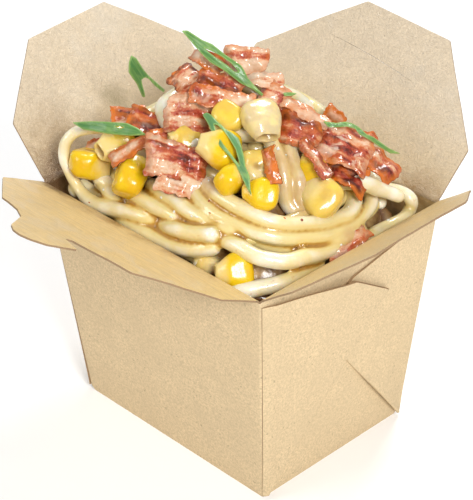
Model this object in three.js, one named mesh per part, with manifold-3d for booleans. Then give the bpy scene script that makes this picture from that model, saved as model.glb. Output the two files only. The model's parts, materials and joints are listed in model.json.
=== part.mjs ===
// A folded kraft-board takeaway box, standing open and heaped with thick noodles, with
// sweetcorn kernels, bacon and slivers of green onion on top.
// Millimetres, +Z up. The origin is the centre of the underside. The two wide walls face
// -Y and +Y, the two narrow walls, where the corner webs fold flat, face -X and +X.
import * as THREE from "three";
import { mergeVertices } from "three/addons/utils/BufferGeometryUtils.js";
import Module from "manifold-3d";

const wasm = await Module();
wasm.setup();

// ---------------------------------------------------------------- driving dimensions
const BOX = { baseLength: 89, baseWidth: 68, rimLength: 105, rimWidth: 85, height: 88 };
const BOARD = 0.6; // thickness of the board
const GAP = 0.3; // clearance between pieces that touch
const CREASE = { inset: 0.3, start: 1, side: 0.5 }; // hinge line, and where a flap begins

// Each flap: rest angle above the horizontal, the heights of its two straight sides and
// the two ends of its outer edge, as [along the hinge, away from the hinge].
const FLAPS = {
  flap_tongue: { side: "-Y", angle: 27.8, rise: [20, 18], outer: [[25, 41.5], [86, 40.5]] },
  flap_slot: { side: "+Y", angle: 43, rise: [24, 20], outer: [[35, 54.5], [75, 52.5]] },
  flap_left: { side: "-X", angle: 46.5, rise: [23, 27], outer: [[23, 48], [59, 50]] },
  flap_right: { side: "+X", angle: 36, rise: [17, 17], outer: [[19, 38.5], [63, 36]] },
};
const SLIT = { from: [27.5, 38], to: [71.5, 33.5], bow: 0.8, width: 0.8 };
// The tongue's outline from its foot round to the notch behind its hook.
const TONGUE = {
  foot: [29, 42],
  leftCurve: [[35, 43.5], [41.5, 47.5], [46, 53.5], [49.5, 58.5]],
  tip: [53.5, 61],
  shoulder: [61, 60.3],
  hookCurve: [66, 57.5],
  hook: [69.5, 48.5],
  notch: [60.5, 45.5],
  neck: [61.5, 43.3],
};
// Corner webs folded flat on the narrow walls, as [along the rim, below the rim].
const WEB = { rimStart: 2.6, shoulder: [44.5, 12.5], tip: [62, 24.6] };

// The heap: half axes of its foot, its peak and its foot above the rim, and its peak's place.
const HEAP = { a: 47, b: 38, power: 4, peak: 36, foot: -4, peakAt: [-8, 8], roundness: 0.8 };
const NOODLE = { radius: 3, sides: 6, step: 7.5 }; // step: length of one straight stretch
// The core under the noodles: its box-shaped lower part, then rings up the dome by reach.
const CORE = {
  sink: 3,
  points: 20,
  wallGap: 0.5,
  squareness: 8,
  shoulderBelowRim: 14,
  reaches: [0.99, 0.92, 0.8, 0.62, 0.4, 0.15],
};

// Noodles that show, by hand: points as [x, y, height above the rim].
const STRANDS = [
  [[-4, -27, 17], [8, -26, 19], [19, -26, 17], [30, -24, 15], [37, -19, 12], [41, -9, 9],
    [42, 2, 6], [42, 10, 7], [38, 15, 10], [32, 14, 14]],
  [[-12, -29, 12], [2, -29, 13], [15, -29, 12], [27, -27, 11], [36, -23, 9], [42, -13, 6],
    [44, 1, 3], [43, 13, 3], [40, 22, 6], [36, 19, 11]],
  [[2, -30, 10], [17, -30, 10], [28, -27, 8], [35, -22, 5], [40, -16, 3], [43, -9, 2],
    [45, -2, 1], [46, 6, 0], [45, 14, -2]],
  [[17, -31, 7], [32, -31, 6], [38, -30, 5], [42, -27, 4], [45, -23, 3], [46, -17, 2],
    [46, -10, 0], [46, -2, -1], [45, 7, -3]],
  [[31, -37, -8], [38, -36, -6], [43, -31, -5], [46, -24, -5], [46, -15, -5], [46, -7, -6]],
  [[-29, -20, 20], [-36, -25, 20], [-42, -30, 20], [-45, -34, 18], [-46, -37, 12],
    [-43, -38, 6], [-40, -38, 1], [-35, -38, -3], [-27, -37, -2], [-15, -36, 1], [-6, -35, 3],
    [3, -34, 3], [12, -33, 5], [18, -33, 6], [22, -32, 7]],
  [[-15, -38, -2], [-6, -38, -1], [4, -38, -1], [12, -37, 0], [18, -35, 1], [22, -33, 3]],
  [[-45, -28, -3], [-39, -33, 0], [-30, -34, 0], [-21, -34, 3], [-8, -33, 6], [1, -32, 6],
    [12, -32, 7], [19, -31, 8]],
  [[-10, -28, 9], [-2, -29, 9], [8, -30, 9], [16, -31, 9], [24, -30, 8], [30, -29, 7]],
  [[26, 15, 19], [33, 19, 14], [37, 24, 9], [41, 29, 6], [44, 33, 4], [47, 34, 2],
    [47, 34, -1], [48, 30, -3], [47, 25, -4], [47, 18, -4], [47, 10, -4]],
  [[25, -1, 30], [27, -2, 27], [31, -4, 23], [33, -5, 18], [34, -6, 15], [36, -5, 12],
    [39, -2, 10], [41, 2, 8]],
  [[21, -4, 30], [23, -5, 26], [26, -6, 21], [28, -7, 17], [31, -8, 13], [34, -8, 9]],
];
// The rest of the heap: wreaths [start, end] in degrees round it, reach from 0 at the peak
// to 1 at its foot, and how the reach drifts over the noodle.
const WREATH = { stops: 8, wobble: 0.04 };
const WREATHS = [
  { turn: [35, 200], reach: 0.96, drift: -0.06 },
  { turn: [70, 235], reach: 0.86, drift: 0.07 },
  { turn: [20, 170], reach: 0.76, drift: 0.05 },
  { turn: [110, 250], reach: 0.7, drift: -0.08 },
  { turn: [40, 190], reach: 0.6, drift: -0.1 },
  { turn: [150, 300], reach: 0.52, drift: 0.08 },
  { turn: [300, 470], reach: 0.42, drift: 0.05 },
  { turn: [60, 260], reach: 0.3, drift: 0.05 },
];

// Toppings: at = [x, y, height above the rim]; turn = [yaw, pitch, roll] in degrees.
// A kernel's section is a share [place along it, width, depth] of its sizes at each station.
const KERNEL = {
  length: 11,
  width: 10,
  depth: 6.8,
  sides: 8,
  stations: [[-0.5, 0.32, 0.4], [-0.34, 0.66, 0.74], [0.08, 1, 1], [0.36, 0.9, 0.9], [0.5, 0.5, 0.5]],
};
const KERNELS = [
  { at: [-38.5, -33, 8.5], turn: [226, 10, 20], scale: 1.15 },
  { at: [-31, -27, 17], turn: [35, 8, 40], scale: 1.25 },
  { at: [-18, -33, 12], turn: [-70, -30, 55], scale: 1.15 },
  { at: [6, -11, 35], turn: [80, 40, 30], scale: 1.1 },
  { at: [11, -19, 29], turn: [30, -10, 40], scale: 1.3 },
  { at: [17, -6, 37], turn: [136, 48, 0], scale: 1.3 },
  { at: [20, -23, 23], turn: [235, -40, 45], scale: 1.1 },
  { at: [30, -19, 20], turn: [35, -5, 50], scale: 1.1 },
  { at: [23, -15, 26], turn: [150, 40, 10], scale: 1.0 },
  { at: [32, 2, 21], turn: [-30, -50, 20], scale: 1.0 },
  { at: [38, 0, 14], turn: [10, -25, 40], scale: 1.35 },
  { at: [-5, -19, 26], turn: [50, 0, 50], scale: 1.05 },
  { at: [33, -34, -1], turn: [50, 5, 55], scale: 1.2 },
  { at: [21, -34, -4], turn: [200, 0, 30], scale: 0.9 },
];
// Bacon: sheets of along by across faces, with ragged sides and a slight twist in waves.
const RASHER = { thickness: 2.2, across: 2, along: 5, ragged: 0.5, twist: 0.5, waves: 5 };
const RASHERS = [
  { at: [-2, 6, 47], size: [15, 9], turn: [48, 3, 55], bend: 0.8 },
  { at: [-13, -2, 45], size: [12, 6], turn: [20, -20, 30], bend: 3 },
  { at: [-18.5, -5.6, 37.7], size: [11, 9], turn: [80, 20, 30], bend: 1.5 },
  { at: [-4, -4, 42], size: [16, 7], turn: [20, -15, 35], bend: -1 },
  { at: [4, 8, 41], size: [13, 7], turn: [45, -5, 40], bend: 1 },
  { at: [11, 6, 37], size: [12, 11], turn: [20, -10, 40], bend: 1.2 },
  { at: [-8, -15, 34], size: [15, 16], turn: [45, 0, 52], bend: 1.5 },
  { at: [1, -9, 39], size: [22, 8], turn: [38, -8, 45], bend: 1 },
  { at: [-36, -18, 22], size: [12, 8], turn: [50, 0, 40], bend: 1.5 },
  { at: [-22, -20, 27], size: [14, 10], turn: [30, -10, 35], bend: -1.2 },
  { at: [-18, -28, 22], size: [24, 5], turn: [50, 28, 40], bend: 1.5 },
  { at: [-1, -28, 23], size: [21, 13], turn: [35, -12, 48], bend: 1.5 },
  { at: [4, -30, 17], size: [17, 9], turn: [35, -14, 48], bend: 1 },
  { at: [22, 9, 35], size: [18, 5], turn: [30, -25, 30], bend: 1 },
  { at: [24, 4, 31], size: [15, 11], turn: [30, -10, 40], bend: 1.5 },
  { at: [35, 14, 25], size: [19, 14], turn: [25, -18, 30], bend: 1 },
  { at: [34, 1, 26], size: [17, 4.5], turn: [0, -35, 20], bend: 0.6 },
  { at: [38, 11, 17], size: [15, 8], turn: [30, -15, 25], bend: 1.5 },
  { at: [40, 25, 16], size: [16, 10], turn: [15, -30, 10], bend: 1.5 },
  { at: [22.2, 23.8, 28.2], size: [8, 4.5], turn: [30, -30, 50], bend: 0.5 },
  { at: [29, -14, 28], size: [14, 5], turn: [-30, -30, 30], bend: 1 },
  { at: [48.5, 4, -0.8], size: [16, 5], turn: [90, 15, 35], bend: 0.5 },
  { at: [-41.4, -27.2, 12.6], size: [8, 5], turn: [40, 10, 40], bend: 0.5 },
];
// Slivers of onion, cut on the slant: pointed rings. from and to are their tips, eye is the
// share of the width that is open, and bow lifts the middle. All face the same way.
const SLIVER = {
  thickness: 0.8,
  stations: 6,
  bluntness: 0.3,
  eyeLength: 0.72,
  narrowest: 0.02, // the least half width, so that a small eye stays open when it is grown
  facing: [0.61, -0.58, 0.54],
};
const SLIVERS = [
  { from: [-32, -18.1, 46.6], to: [-30.8, -8.5, 27.4], width: 6, eye: 0.45, bow: 0.5 },
  { from: [-15.9, -9.6, 58.2], to: [8.5, 4.2, 39], width: 5.4, eye: 0.3, bow: 1.5 },
  { from: [-41, -36.8, 26.6], to: [-16.2, -26.9, 26.6], width: 5, eye: 0.2, bow: 1 },
  { from: [1.3, -14.9, 37.2], to: [31.6, -22.2, 23.7], width: 6.6, eye: 0.4, bow: 2.5 },
  { from: [30.2, 9.5, 36.1], to: [46, 29.3, 22.2], width: 3.5, eye: 0.2, bow: 2.5 },
  { from: [14.7, 6.2, 41], to: [16.8, 10.2, 39.4], width: 2.2, eye: 0.35, bow: 0.2 },
];

const FINISH = {
  board: { color: 0xd9bd94, roughness: 0.85, metalness: 0 },
  noodle: { color: 0xf0dfae, roughness: 0.35, metalness: 0 },
  corn: { color: 0xf3c62b, roughness: 0.3, metalness: 0 },
  bacon: { color: 0xb4553f, roughness: 0.4, metalness: 0 },
  onion: { color: 0x6aa352, roughness: 0.45, metalness: 0 },
};

// ---------------------------------------------------------------- solids and meshes
const V = (x, y, z) => new THREE.Vector3(x, y, z);
const radians = THREE.MathUtils.degToRad;
const lerp = THREE.MathUtils.lerp;

function toSolid(geometry) {
  const bare = geometry.clone();
  bare.deleteAttribute("normal");
  bare.deleteAttribute("uv");
  const merged = mergeVertices(bare, 1e-3);
  return new wasm.Manifold(
    new wasm.Mesh({
      numProp: 3,
      vertProperties: merged.attributes.position.array,
      triVerts: new Uint32Array(merged.index.array),
    }),
  );
}

function toGeometry(solid) {
  const mesh = solid.getMesh();
  const geometry = new THREE.BufferGeometry();
  geometry.setAttribute("position", new THREE.BufferAttribute(mesh.vertProperties, 3));
  geometry.setIndex(new THREE.BufferAttribute(mesh.triVerts, 1));
  geometry.computeVertexNormals();
  return geometry;
}

function largestBody(solid) {
  return solid.decompose().reduce((a, b) => (b.volume() > a.volume() ? b : a));
}

// A closed skin through rings of equally many points, its end rings filled.
function loft(rings) {
  const count = rings[0].length;
  const points = rings.flat();
  const last = (rings.length - 1) * count;
  const index = [];
  for (let r = 0; r < last; r += count)
    for (let i = 0; i < count; i++) {
      const j = (i + 1) % count;
      index.push(r + i, r + j, r + count + j, r + i, r + count + j, r + count + i);
    }
  for (let i = 1; i < count - 1; i++) {
    index.push(0, i + 1, i);
    index.push(last, last + i, last + i + 1);
  }
  const geometry = new THREE.BufferGeometry().setFromPoints(points);
  geometry.setIndex(index);
  return geometry;
}

// A ring-shaped skin through rings of equally many points, the last joined to the first.
function closedBand(rings) {
  const count = rings[0].length;
  const index = [];
  for (let r = 0; r < rings.length; r++)
    for (let i = 0; i < count; i++) {
      const next = (r + 1) % rings.length;
      const j = (i + 1) % count;
      const [a, b, c, d] = [r * count + i, r * count + j, next * count + j, next * count + i];
      index.push(a, b, c, a, c, d);
    }
  const geometry = new THREE.BufferGeometry().setFromPoints(rings.flat());
  geometry.setIndex(index);
  return geometry;
}

// Seeded random numbers from 0 to 1.
function randomFrom(seed) {
  let state = seed * 7919 + 17;
  return () => {
    state = (state * 16807) % 2147483647;
    return state / 2147483647;
  };
}

function turned([yaw, pitch, roll], [x, y, height]) {
  const matrix = new THREE.Matrix4().makeRotationZ(radians(yaw));
  matrix.multiply(new THREE.Matrix4().makeRotationY(-radians(pitch)));
  matrix.multiply(new THREE.Matrix4().makeRotationX(radians(roll)));
  return matrix.setPosition(x, y, BOX.height + height);
}

// ---------------------------------------------------------------- the box
const halfLength = (z) => lerp(BOX.baseLength, BOX.rimLength, z / BOX.height) / 2;
const halfWidth = (z) => lerp(BOX.baseWidth, BOX.rimWidth, z / BOX.height) / 2;

function rectangle(z, inset) {
  const x = halfLength(z) - inset;
  const y = halfWidth(z) - inset;
  return [V(-x, -y, z), V(x, -y, z), V(x, y, z), V(-x, y, z)];
}

// One corner web on the +X wall, from its -Y corner, thick enough to bury in the wall.
function web(thickness, mirrored) {
  const wallHeight = Math.hypot(BOX.height, halfLength(BOX.height) - halfLength(0));
  const taper = halfWidth(BOX.height) - halfWidth(0);
  const startIn = (taper * WEB.rimStart) / wallHeight;
  const outline = [[startIn, WEB.rimStart], WEB.shoulder, WEB.tip, [taper, wallHeight - BOARD]];
  const shape = new THREE.Shape(outline.map(([along, below]) => new THREE.Vector2(along, -below)));
  const depth = thickness + BOARD / 2;
  const geometry = new THREE.ExtrudeGeometry(shape, { depth, bevelEnabled: false });
  geometry.translate(-halfWidth(BOX.height), 0, -BOARD / 2);
  const lean = V(halfLength(BOX.height) - halfLength(0), 0, BOX.height).normalize();
  const along = V(0, 1, 0);
  const basis = new THREE.Matrix4().makeBasis(along, lean, along.clone().cross(lean));
  basis.setPosition(halfLength(BOX.height), 0, BOX.height);
  let solid = toSolid(geometry.applyMatrix4(basis));
  if (mirrored) solid = solid.mirror([0, 1, 0]);
  return solid;
}

function tray() {
  const pastRim = BOX.height + 5;
  const shell = toSolid(loft([rectangle(0, 0), rectangle(BOX.height, 0)]));
  const hollow = toSolid(loft([rectangle(BOARD, BOARD), rectangle(pastRim, BOARD)]));
  const webs = web(2 * BOARD, false).add(web(BOARD, true));
  return shell.subtract(hollow).add(webs).add(webs.rotate([0, 0, 180]));
}

// ---------------------------------------------------------------- flaps
const SIDES = {
  "-Y": { start: [-1, -1], along: V(1, 0, 0), out: V(0, -1, 0), length: BOX.rimLength },
  "+Y": { start: [-1, 1], along: V(1, 0, 0), out: V(0, 1, 0), length: BOX.rimLength },
  "-X": { start: [-1, -1], along: V(0, 1, 0), out: V(-1, 0, 0), length: BOX.rimWidth },
  "+X": { start: [1, -1], along: V(0, 1, 0), out: V(1, 0, 0), length: BOX.rimWidth },
};

function flapShape(flap, length, withTongue) {
  const [outerStart, outerEnd] = flap.outer;
  const shape = new THREE.Shape();
  shape.moveTo(CREASE.side, CREASE.start);
  shape.lineTo(length - CREASE.side, CREASE.start);
  shape.lineTo(length - CREASE.side, flap.rise[1]);
  shape.lineTo(...outerEnd);
  if (withTongue) {
    shape.lineTo(...TONGUE.neck);
    shape.lineTo(...TONGUE.notch);
    shape.lineTo(...TONGUE.hook);
    shape.quadraticCurveTo(...TONGUE.hookCurve, ...TONGUE.shoulder);
    shape.lineTo(...TONGUE.tip);
    [...TONGUE.leftCurve].reverse().forEach((point) => shape.lineTo(...point));
    shape.lineTo(...TONGUE.foot);
  }
  shape.lineTo(...outerStart);
  shape.lineTo(CREASE.side, flap.rise[0]);
  return shape;
}

function slitShape() {
  const middle = SLIT.from.map((value, i) => (value + SLIT.to[i]) / 2);
  const path = new THREE.Path();
  path.moveTo(SLIT.from[0], SLIT.from[1]);
  path.quadraticCurveTo(middle[0], middle[1] + SLIT.bow + SLIT.width, ...SLIT.to);
  path.quadraticCurveTo(middle[0], middle[1] + SLIT.bow - SLIT.width, ...SLIT.from);
  return path;
}

function addFlap(group, name, flap) {
  const side = SIDES[flap.side];
  const shape = flapShape(flap, side.length, name === "flap_tongue");
  if (name === "flap_slot") shape.holes.push(slitShape());
  const geometry = new THREE.ExtrudeGeometry(shape, {
    depth: BOARD,
    bevelEnabled: false,
    curveSegments: 4,
  });
  geometry.translate(0, 0, -BOARD / 2);
  const angle = radians(flap.angle);
  const up = side.out.clone().multiplyScalar(Math.cos(angle)).setZ(Math.sin(angle));
  const hinge = new THREE.Group();
  const basis = new THREE.Matrix4().makeBasis(side.along, up, side.along.clone().cross(up));
  hinge.setRotationFromMatrix(basis);
  hinge.position.set(
    (side.start[0] * BOX.rimLength) / 2,
    (side.start[1] * BOX.rimWidth) / 2,
    BOX.height,
  );
  hinge.position.addScaledVector(side.out, -CREASE.inset);
  addMesh(hinge, name, geometry, FINISH.board);
  group.add(hinge);
}

// ---------------------------------------------------------------- the heap of noodles
function heapPoint(degrees, reach, lift) {
  const angle = radians(degrees);
  const [c, s] = [Math.cos(angle), Math.sin(angle)];
  const round = (Math.abs(c) ** HEAP.power + Math.abs(s) ** HEAP.power) ** (-1 / HEAP.power);
  const dome = Math.max(0, 1 - reach * reach) ** HEAP.roundness;
  return V(
    (1 - reach) * HEAP.peakAt[0] + HEAP.a * reach * round * c,
    (1 - reach) * HEAP.peakAt[1] + HEAP.b * reach * round * s,
    BOX.height + lerp(HEAP.foot, HEAP.peak, dome) + lift,
  );
}

function boxedRing(z) {
  const inset = BOARD + CORE.wallGap;
  const power = CORE.squareness;
  return Array.from({ length: CORE.points }, (_, i) => {
    const angle = (2 * Math.PI * i) / CORE.points;
    const [c, s] = [Math.cos(angle), Math.sin(angle)];
    const round = (Math.abs(c) ** power + Math.abs(s) ** power) ** (-1 / power);
    return V((halfLength(z) - inset) * round * c, (halfWidth(z) - inset) * round * s, z);
  });
}

function domeRing(reach) {
  return Array.from({ length: CORE.points }, (_, i) =>
    heapPoint((360 * i) / CORE.points, reach, -CORE.sink),
  );
}

function core() {
  const shoulder = BOX.height - CORE.shoulderBelowRim;
  const rings = [boxedRing(BOARD + GAP), boxedRing(shoulder), ...CORE.reaches.map(domeRing)];
  return toSolid(loft(rings));
}

function noodle(points) {
  const path = new THREE.CatmullRomCurve3(points, false, "centripetal");
  const section = new THREE.Shape(
    Array.from({ length: NOODLE.sides }, (_, i) => {
      const angle = (2 * Math.PI * i) / NOODLE.sides;
      return new THREE.Vector2(Math.cos(angle), Math.sin(angle)).multiplyScalar(NOODLE.radius);
    }),
  );
  const steps = Math.ceil(path.getLength() / NOODLE.step);
  const options = { steps, bevelEnabled: false, extrudePath: path };
  return toSolid(new THREE.ExtrudeGeometry(section, options));
}

function wreath({ turn, reach, drift }, seed) {
  const random = randomFrom(seed);
  return Array.from({ length: WREATH.stops }, (_, i) => {
    const t = i / (WREATH.stops - 1);
    const wobble = WREATH.wobble * (random() - 0.5);
    return heapPoint(lerp(turn[0], turn[1], t), reach + drift * t + wobble, 0);
  });
}

function heap() {
  const byHand = STRANDS.map((points) => points.map(([x, y, z]) => V(x, y, BOX.height + z)));
  const byRule = WREATHS.map((each, i) => wreath(each, i + 1));
  return [...byHand, ...byRule].reduce((all, points) => all.add(noodle(points)), core());
}

// ---------------------------------------------------------------- toppings
// A kernel lies along its own X, its pale foot at the narrow end. grow swells it all round.
function kernel({ at, turn, scale }, grow) {
  const rings = KERNEL.stations.map(([place, wide, deep]) => {
    const x = place * (KERNEL.length * scale + 2 * grow);
    const y = (KERNEL.width * scale * wide) / 2 + grow;
    const z = (KERNEL.depth * scale * deep) / 2 + grow;
    return Array.from({ length: KERNEL.sides }, (_, i) => {
      const angle = (2 * Math.PI * (i + 0.5)) / KERNEL.sides;
      return V(x, y * Math.cos(angle), z * Math.sin(angle));
    });
  });
  return toSolid(loft(rings).applyMatrix4(turned(turn, at)));
}

// A wavy closed slab over a grid: surface(u, v) gives the middle of the slab at u, v in 0..1.
function slab(nu, nv, thickness, surface) {
  const points = [];
  for (const side of [1, -1])
    for (let i = 0; i <= nu; i++)
      for (let j = 0; j <= nv; j++)
        points.push(surface(i / nu, j / nv).add(V(0, 0, (side * thickness) / 2)));
  const at = (side, i, j) => side * (nu + 1) * (nv + 1) + i * (nv + 1) + j;
  const index = [];
  const quad = (a, b, c, d) => index.push(a, b, c, a, c, d);
  for (let i = 0; i < nu; i++)
    for (let j = 0; j < nv; j++) {
      quad(at(0, i, j), at(0, i + 1, j), at(0, i + 1, j + 1), at(0, i, j + 1));
      quad(at(1, i, j + 1), at(1, i + 1, j + 1), at(1, i + 1, j), at(1, i, j));
    }
  for (let i = 0; i < nu; i++) {
    quad(at(1, i, 0), at(1, i + 1, 0), at(0, i + 1, 0), at(0, i, 0));
    quad(at(0, i, nv), at(0, i + 1, nv), at(1, i + 1, nv), at(1, i, nv));
  }
  for (let j = 0; j < nv; j++) {
    quad(at(0, 0, j), at(0, 0, j + 1), at(1, 0, j + 1), at(1, 0, j));
    quad(at(1, nu, j), at(1, nu, j + 1), at(0, nu, j + 1), at(0, nu, j));
  }
  const geometry = new THREE.BufferGeometry().setFromPoints(points);
  geometry.setIndex(index);
  return geometry;
}

// A piece of bacon lies along its own X, bends down at its ends and has ragged sides.
function rasher({ at, size, turn, bend }, seed, grow) {
  const random = randomFrom(seed);
  const ragged = Array.from({ length: RASHER.along + 1 }, () => RASHER.ragged * (2 * random() - 1));
  const surface = (u, v) => {
    const x = (u - 0.5) * (size[0] + 2 * grow);
    const y = (v - 0.5) * (size[1] + 2 * grow) + ragged[Math.round(u * RASHER.along)];
    const arch = bend * (1 - 4 * (u - 0.5) ** 2);
    const twist = RASHER.twist * Math.sin(RASHER.waves * u + seed) * (v - 0.5);
    return V(x, y, arch + twist);
  };
  const geometry = slab(RASHER.along, RASHER.across, RASHER.thickness + 2 * grow, surface);
  return toSolid(geometry.applyMatrix4(turned(turn, at)));
}

// A pointed ring of onion between two tips, with an eye through it.
function sliver({ from, to, width, eye, bow }, grow) {
  const start = V(from[0], from[1], BOX.height + from[2]);
  const end = V(to[0], to[1], BOX.height + to[2]);
  const along = end.clone().sub(start);
  const half = along.length() / 2;
  along.normalize();
  const facing = V(...SLIVER.facing).projectOnPlane(along).normalize();
  const across = facing.clone().cross(along);
  const centre = start.clone().add(end).multiplyScalar(0.5);
  const count = 2 * SLIVER.stations;
  const loop = (reachAlong, reachAcross, offset, side) =>
    Array.from({ length: count }, (_, i) => {
      const angle = (2 * Math.PI * i) / count;
      const forward = Math.cos(angle) * (half * reachAlong + offset);
      const profile = Math.sin(angle) * Math.abs(Math.sin(angle)) ** SLIVER.bluntness;
      const reach = (width / 2) * Math.abs(profile) * reachAcross + offset;
      const sideways = Math.sign(profile) * Math.max(reach, SLIVER.narrowest);
      const lift = bow * (1 - (forward / half) ** 2) + side * (SLIVER.thickness / 2 + grow);
      const point = centre.clone().addScaledVector(along, forward);
      return point.addScaledVector(across, sideways).addScaledVector(facing, lift);
    });
  const rings = [
    loop(1, 1, grow, 1),
    loop(SLIVER.eyeLength, eye, -grow, 1),
    loop(SLIVER.eyeLength, eye, -grow, -1),
    loop(1, 1, grow, -1),
  ];
  return toSolid(closedBand(rings));
}

// ---------------------------------------------------------------- assembly
function addMesh(group, name, geometry, finish) {
  const mesh = new THREE.Mesh(geometry, new THREE.MeshStandardMaterial(finish));
  mesh.name = name;
  group.add(mesh);
}

const numbered = (name, i) => `${name}_${String(i + 1).padStart(2, "0")}`;

function toppings() {
  const list = [];
  SLIVERS.forEach((each, i) => {
    list.push({ name: numbered("onion", i), finish: FINISH.onion, make: (g) => sliver(each, g) });
  });
  RASHERS.forEach((each, i) => {
    const make = (g) => rasher(each, i + 1, g);
    list.push({ name: numbered("bacon", i), finish: FINISH.bacon, make });
  });
  KERNELS.forEach((each, i) => {
    list.push({ name: numbered("corn", i), finish: FINISH.corn, make: (g) => kernel(each, g) });
  });
  return list;
}

// Pieces are taken from the top down: each one makes room for all that lie on it.
function addFood(group) {
  let taken = null;
  for (const { name, finish, make } of toppings()) {
    const whole = make(0);
    const left = taken ? largestBody(whole.subtract(taken)) : whole;
    addMesh(group, name, toGeometry(left), finish);
    taken = taken ? taken.add(make(GAP)) : make(GAP);
  }
  const noodles = largestBody(heap().subtract(taken));
  addMesh(group, "noodles", toGeometry(noodles), FINISH.noodle);
}

const part = new THREE.Group();
addMesh(part, "tray", toGeometry(tray()), FINISH.board);
for (const [name, flap] of Object.entries(FLAPS)) addFlap(part, name, flap);
addFood(part);

export default part;
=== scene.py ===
"""The finish of a folded kraft-board takeaway box, open and heaped with noodles, sweetcorn,
bacon and slivers of green onion. Sizes are in metres; the lists of places are in millimetres,
in the frame's own axes, with heights counted from the rim."""

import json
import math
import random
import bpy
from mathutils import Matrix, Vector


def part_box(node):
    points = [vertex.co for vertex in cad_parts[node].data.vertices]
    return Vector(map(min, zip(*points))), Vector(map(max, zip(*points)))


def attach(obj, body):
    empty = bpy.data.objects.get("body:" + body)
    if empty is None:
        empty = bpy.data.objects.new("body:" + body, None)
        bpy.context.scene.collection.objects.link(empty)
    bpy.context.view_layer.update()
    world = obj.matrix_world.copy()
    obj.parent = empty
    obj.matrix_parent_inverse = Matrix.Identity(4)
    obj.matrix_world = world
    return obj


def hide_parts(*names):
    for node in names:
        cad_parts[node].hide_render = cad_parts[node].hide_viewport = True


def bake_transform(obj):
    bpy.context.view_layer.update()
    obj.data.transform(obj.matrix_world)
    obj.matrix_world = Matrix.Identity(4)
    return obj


bl_info = {
    "name": "Noodle Takeaway Box",
    "version": (1, 0, 0),
    "blender": (4, 5, 0),
    "location": "3D View > Sidebar > Takeaway",
    "description": "Dresses the takeaway box: board, noodles, toppings, sauce and stage",
    "category": "Add Mesh",
}

import bmesh
import bpy
from mathutils import Matrix, Vector, noise
from mathutils.geometry import delaunay_2d_cdt
from mathutils.kdtree import KDTree

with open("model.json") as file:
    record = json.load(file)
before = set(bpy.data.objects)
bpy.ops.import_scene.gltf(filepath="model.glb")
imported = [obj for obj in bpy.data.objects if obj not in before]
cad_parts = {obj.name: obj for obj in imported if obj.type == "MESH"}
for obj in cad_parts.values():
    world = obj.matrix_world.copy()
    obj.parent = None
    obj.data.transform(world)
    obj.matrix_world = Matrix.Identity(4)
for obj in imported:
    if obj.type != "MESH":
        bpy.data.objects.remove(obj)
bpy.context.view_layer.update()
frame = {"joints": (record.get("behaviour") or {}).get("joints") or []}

MM = 0.001
BODY = "box"

# ------------------------------------------------------------------ places and forms
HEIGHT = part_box("tray")[1].z
HINGES = {joint["child"]: Vector(joint["pos_m"]) for joint in frame["joints"]}
CREASE_INSET = 0.3 * MM
CREASE_START = 1.0 * MM
WALL_START = 0.7 * MM
CREASE_SIDE = 0.5 * MM
RIM_LENGTH = 2 * (HINGES["flap_right"].x + CREASE_INSET)
RIM_WIDTH = 2 * (HINGES["flap_slot"].y + CREASE_INSET)

# Flaps: the way each leans, its rest angle above the horizontal, how far its two straight sides
# rise, the ends of its outer edge as (along the hinge, away from the hinge), and how far grease
# has soaked in.
FLAPS = {
    "flap_tongue": {
        "out": (0, -1), "angle": 27.8, "rise": (20, 18), "outer": ((25, 41.5), (86, 40.5)), "soaked": 0.85,
    },
    "flap_slot": {
        "out": (0, 1), "angle": 43.0, "rise": (24, 20), "outer": ((35, 54.5), (75, 52.5)), "soaked": 0.0,
    },
    "flap_left": {
        "out": (-1, 0), "angle": 46.5, "rise": (23, 27), "outer": ((23, 48), (59, 50)), "soaked": 0.05,
    },
    "flap_right": {
        "out": (1, 0), "angle": 36.0, "rise": (17, 17), "outer": ((19, 38.5), (63, 36)), "soaked": 0.75,
    },
}
# The tongue's outline between the two ends of its flap's outer edge.
TONGUE = (
    (61.5, 43.3), (60.5, 45.5), (69.5, 48.5), (68.2, 53), (65.5, 57.3), (61, 60.3), (57, 61.4),
    (53.5, 61), (49.5, 58.5), (46, 53.5), (41.5, 47.5), (35, 43.5), (29, 42),
)
# The slit that takes the tongue.
SLIT = {"start": (27.5, 38), "end": (71.5, 33.5), "bow": 0.8, "width": 0.12}
# Stains that the food has left on the inner faces, and painted shade in the corners and beside the food:
# place, reach, depth and shade.
STAINS_AND_SHADE = (
    ((-66, -26, 14), 26, 0.3, (0.44, 0.35, 0.24)), ((-63.5, 0.3, 11.5), 8, 0.75, (0.27, 0.21, 0.10)),
    ((-58, -31, 7), 22, 0.75, (0.35, 0.23, 0.11)), ((-58, -8, 6), 11, 0.4, (0.40, 0.27, 0.13)),
    ((-51, -37, -1.5), 18, 1.0, (0.13, 0.06, 0.015)),
    ((-45, -42, 0), 7, 0.6, (0.20, 0.10, 0.03)), ((-57, 22, 5), 12, 0.35, (0.42, 0.28, 0.14)),
    ((43, 43, 1), 11, 0.6, (0.28, 0.15, 0.05)), ((10, 46, 3), 14, 0.3, (0.45, 0.30, 0.15)),
    ((54, 20, 2), 11, 0.55, (0.28, 0.15, 0.05)), ((-14, -43, 0), 9, 0.45, (0.40, 0.20, 0.05)),
    ((14, -44, 0), 8, 0.4, (0.40, 0.20, 0.05)), ((54, -12, 1), 9, 0.45, (0.40, 0.20, 0.05)),
)

# Corner webs on the narrow walls, as (along the rim, below the rim): the start, shoulder and tip
# of their top edge, the lower web's own tip, and their foot. The upper web lies over the lower.
WEB_TOP = ((1.0, 2.6), (42.3, 10.8), (60.2, 23.2))
LOWER_WEB_TIP = (56.6, 24.6)
WEB_FOOT = (8.5, 88.0)
# How far a web stands off the wall, springs away at its shoulder and gapes at its free edge.
UPPER_WEB = {"lift": 1.0, "spring": 2.1, "gape": 0.15}
LOWER_WEB = {"lift": 0.45, "spring": 0.21, "gape": 2.0}

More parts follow.
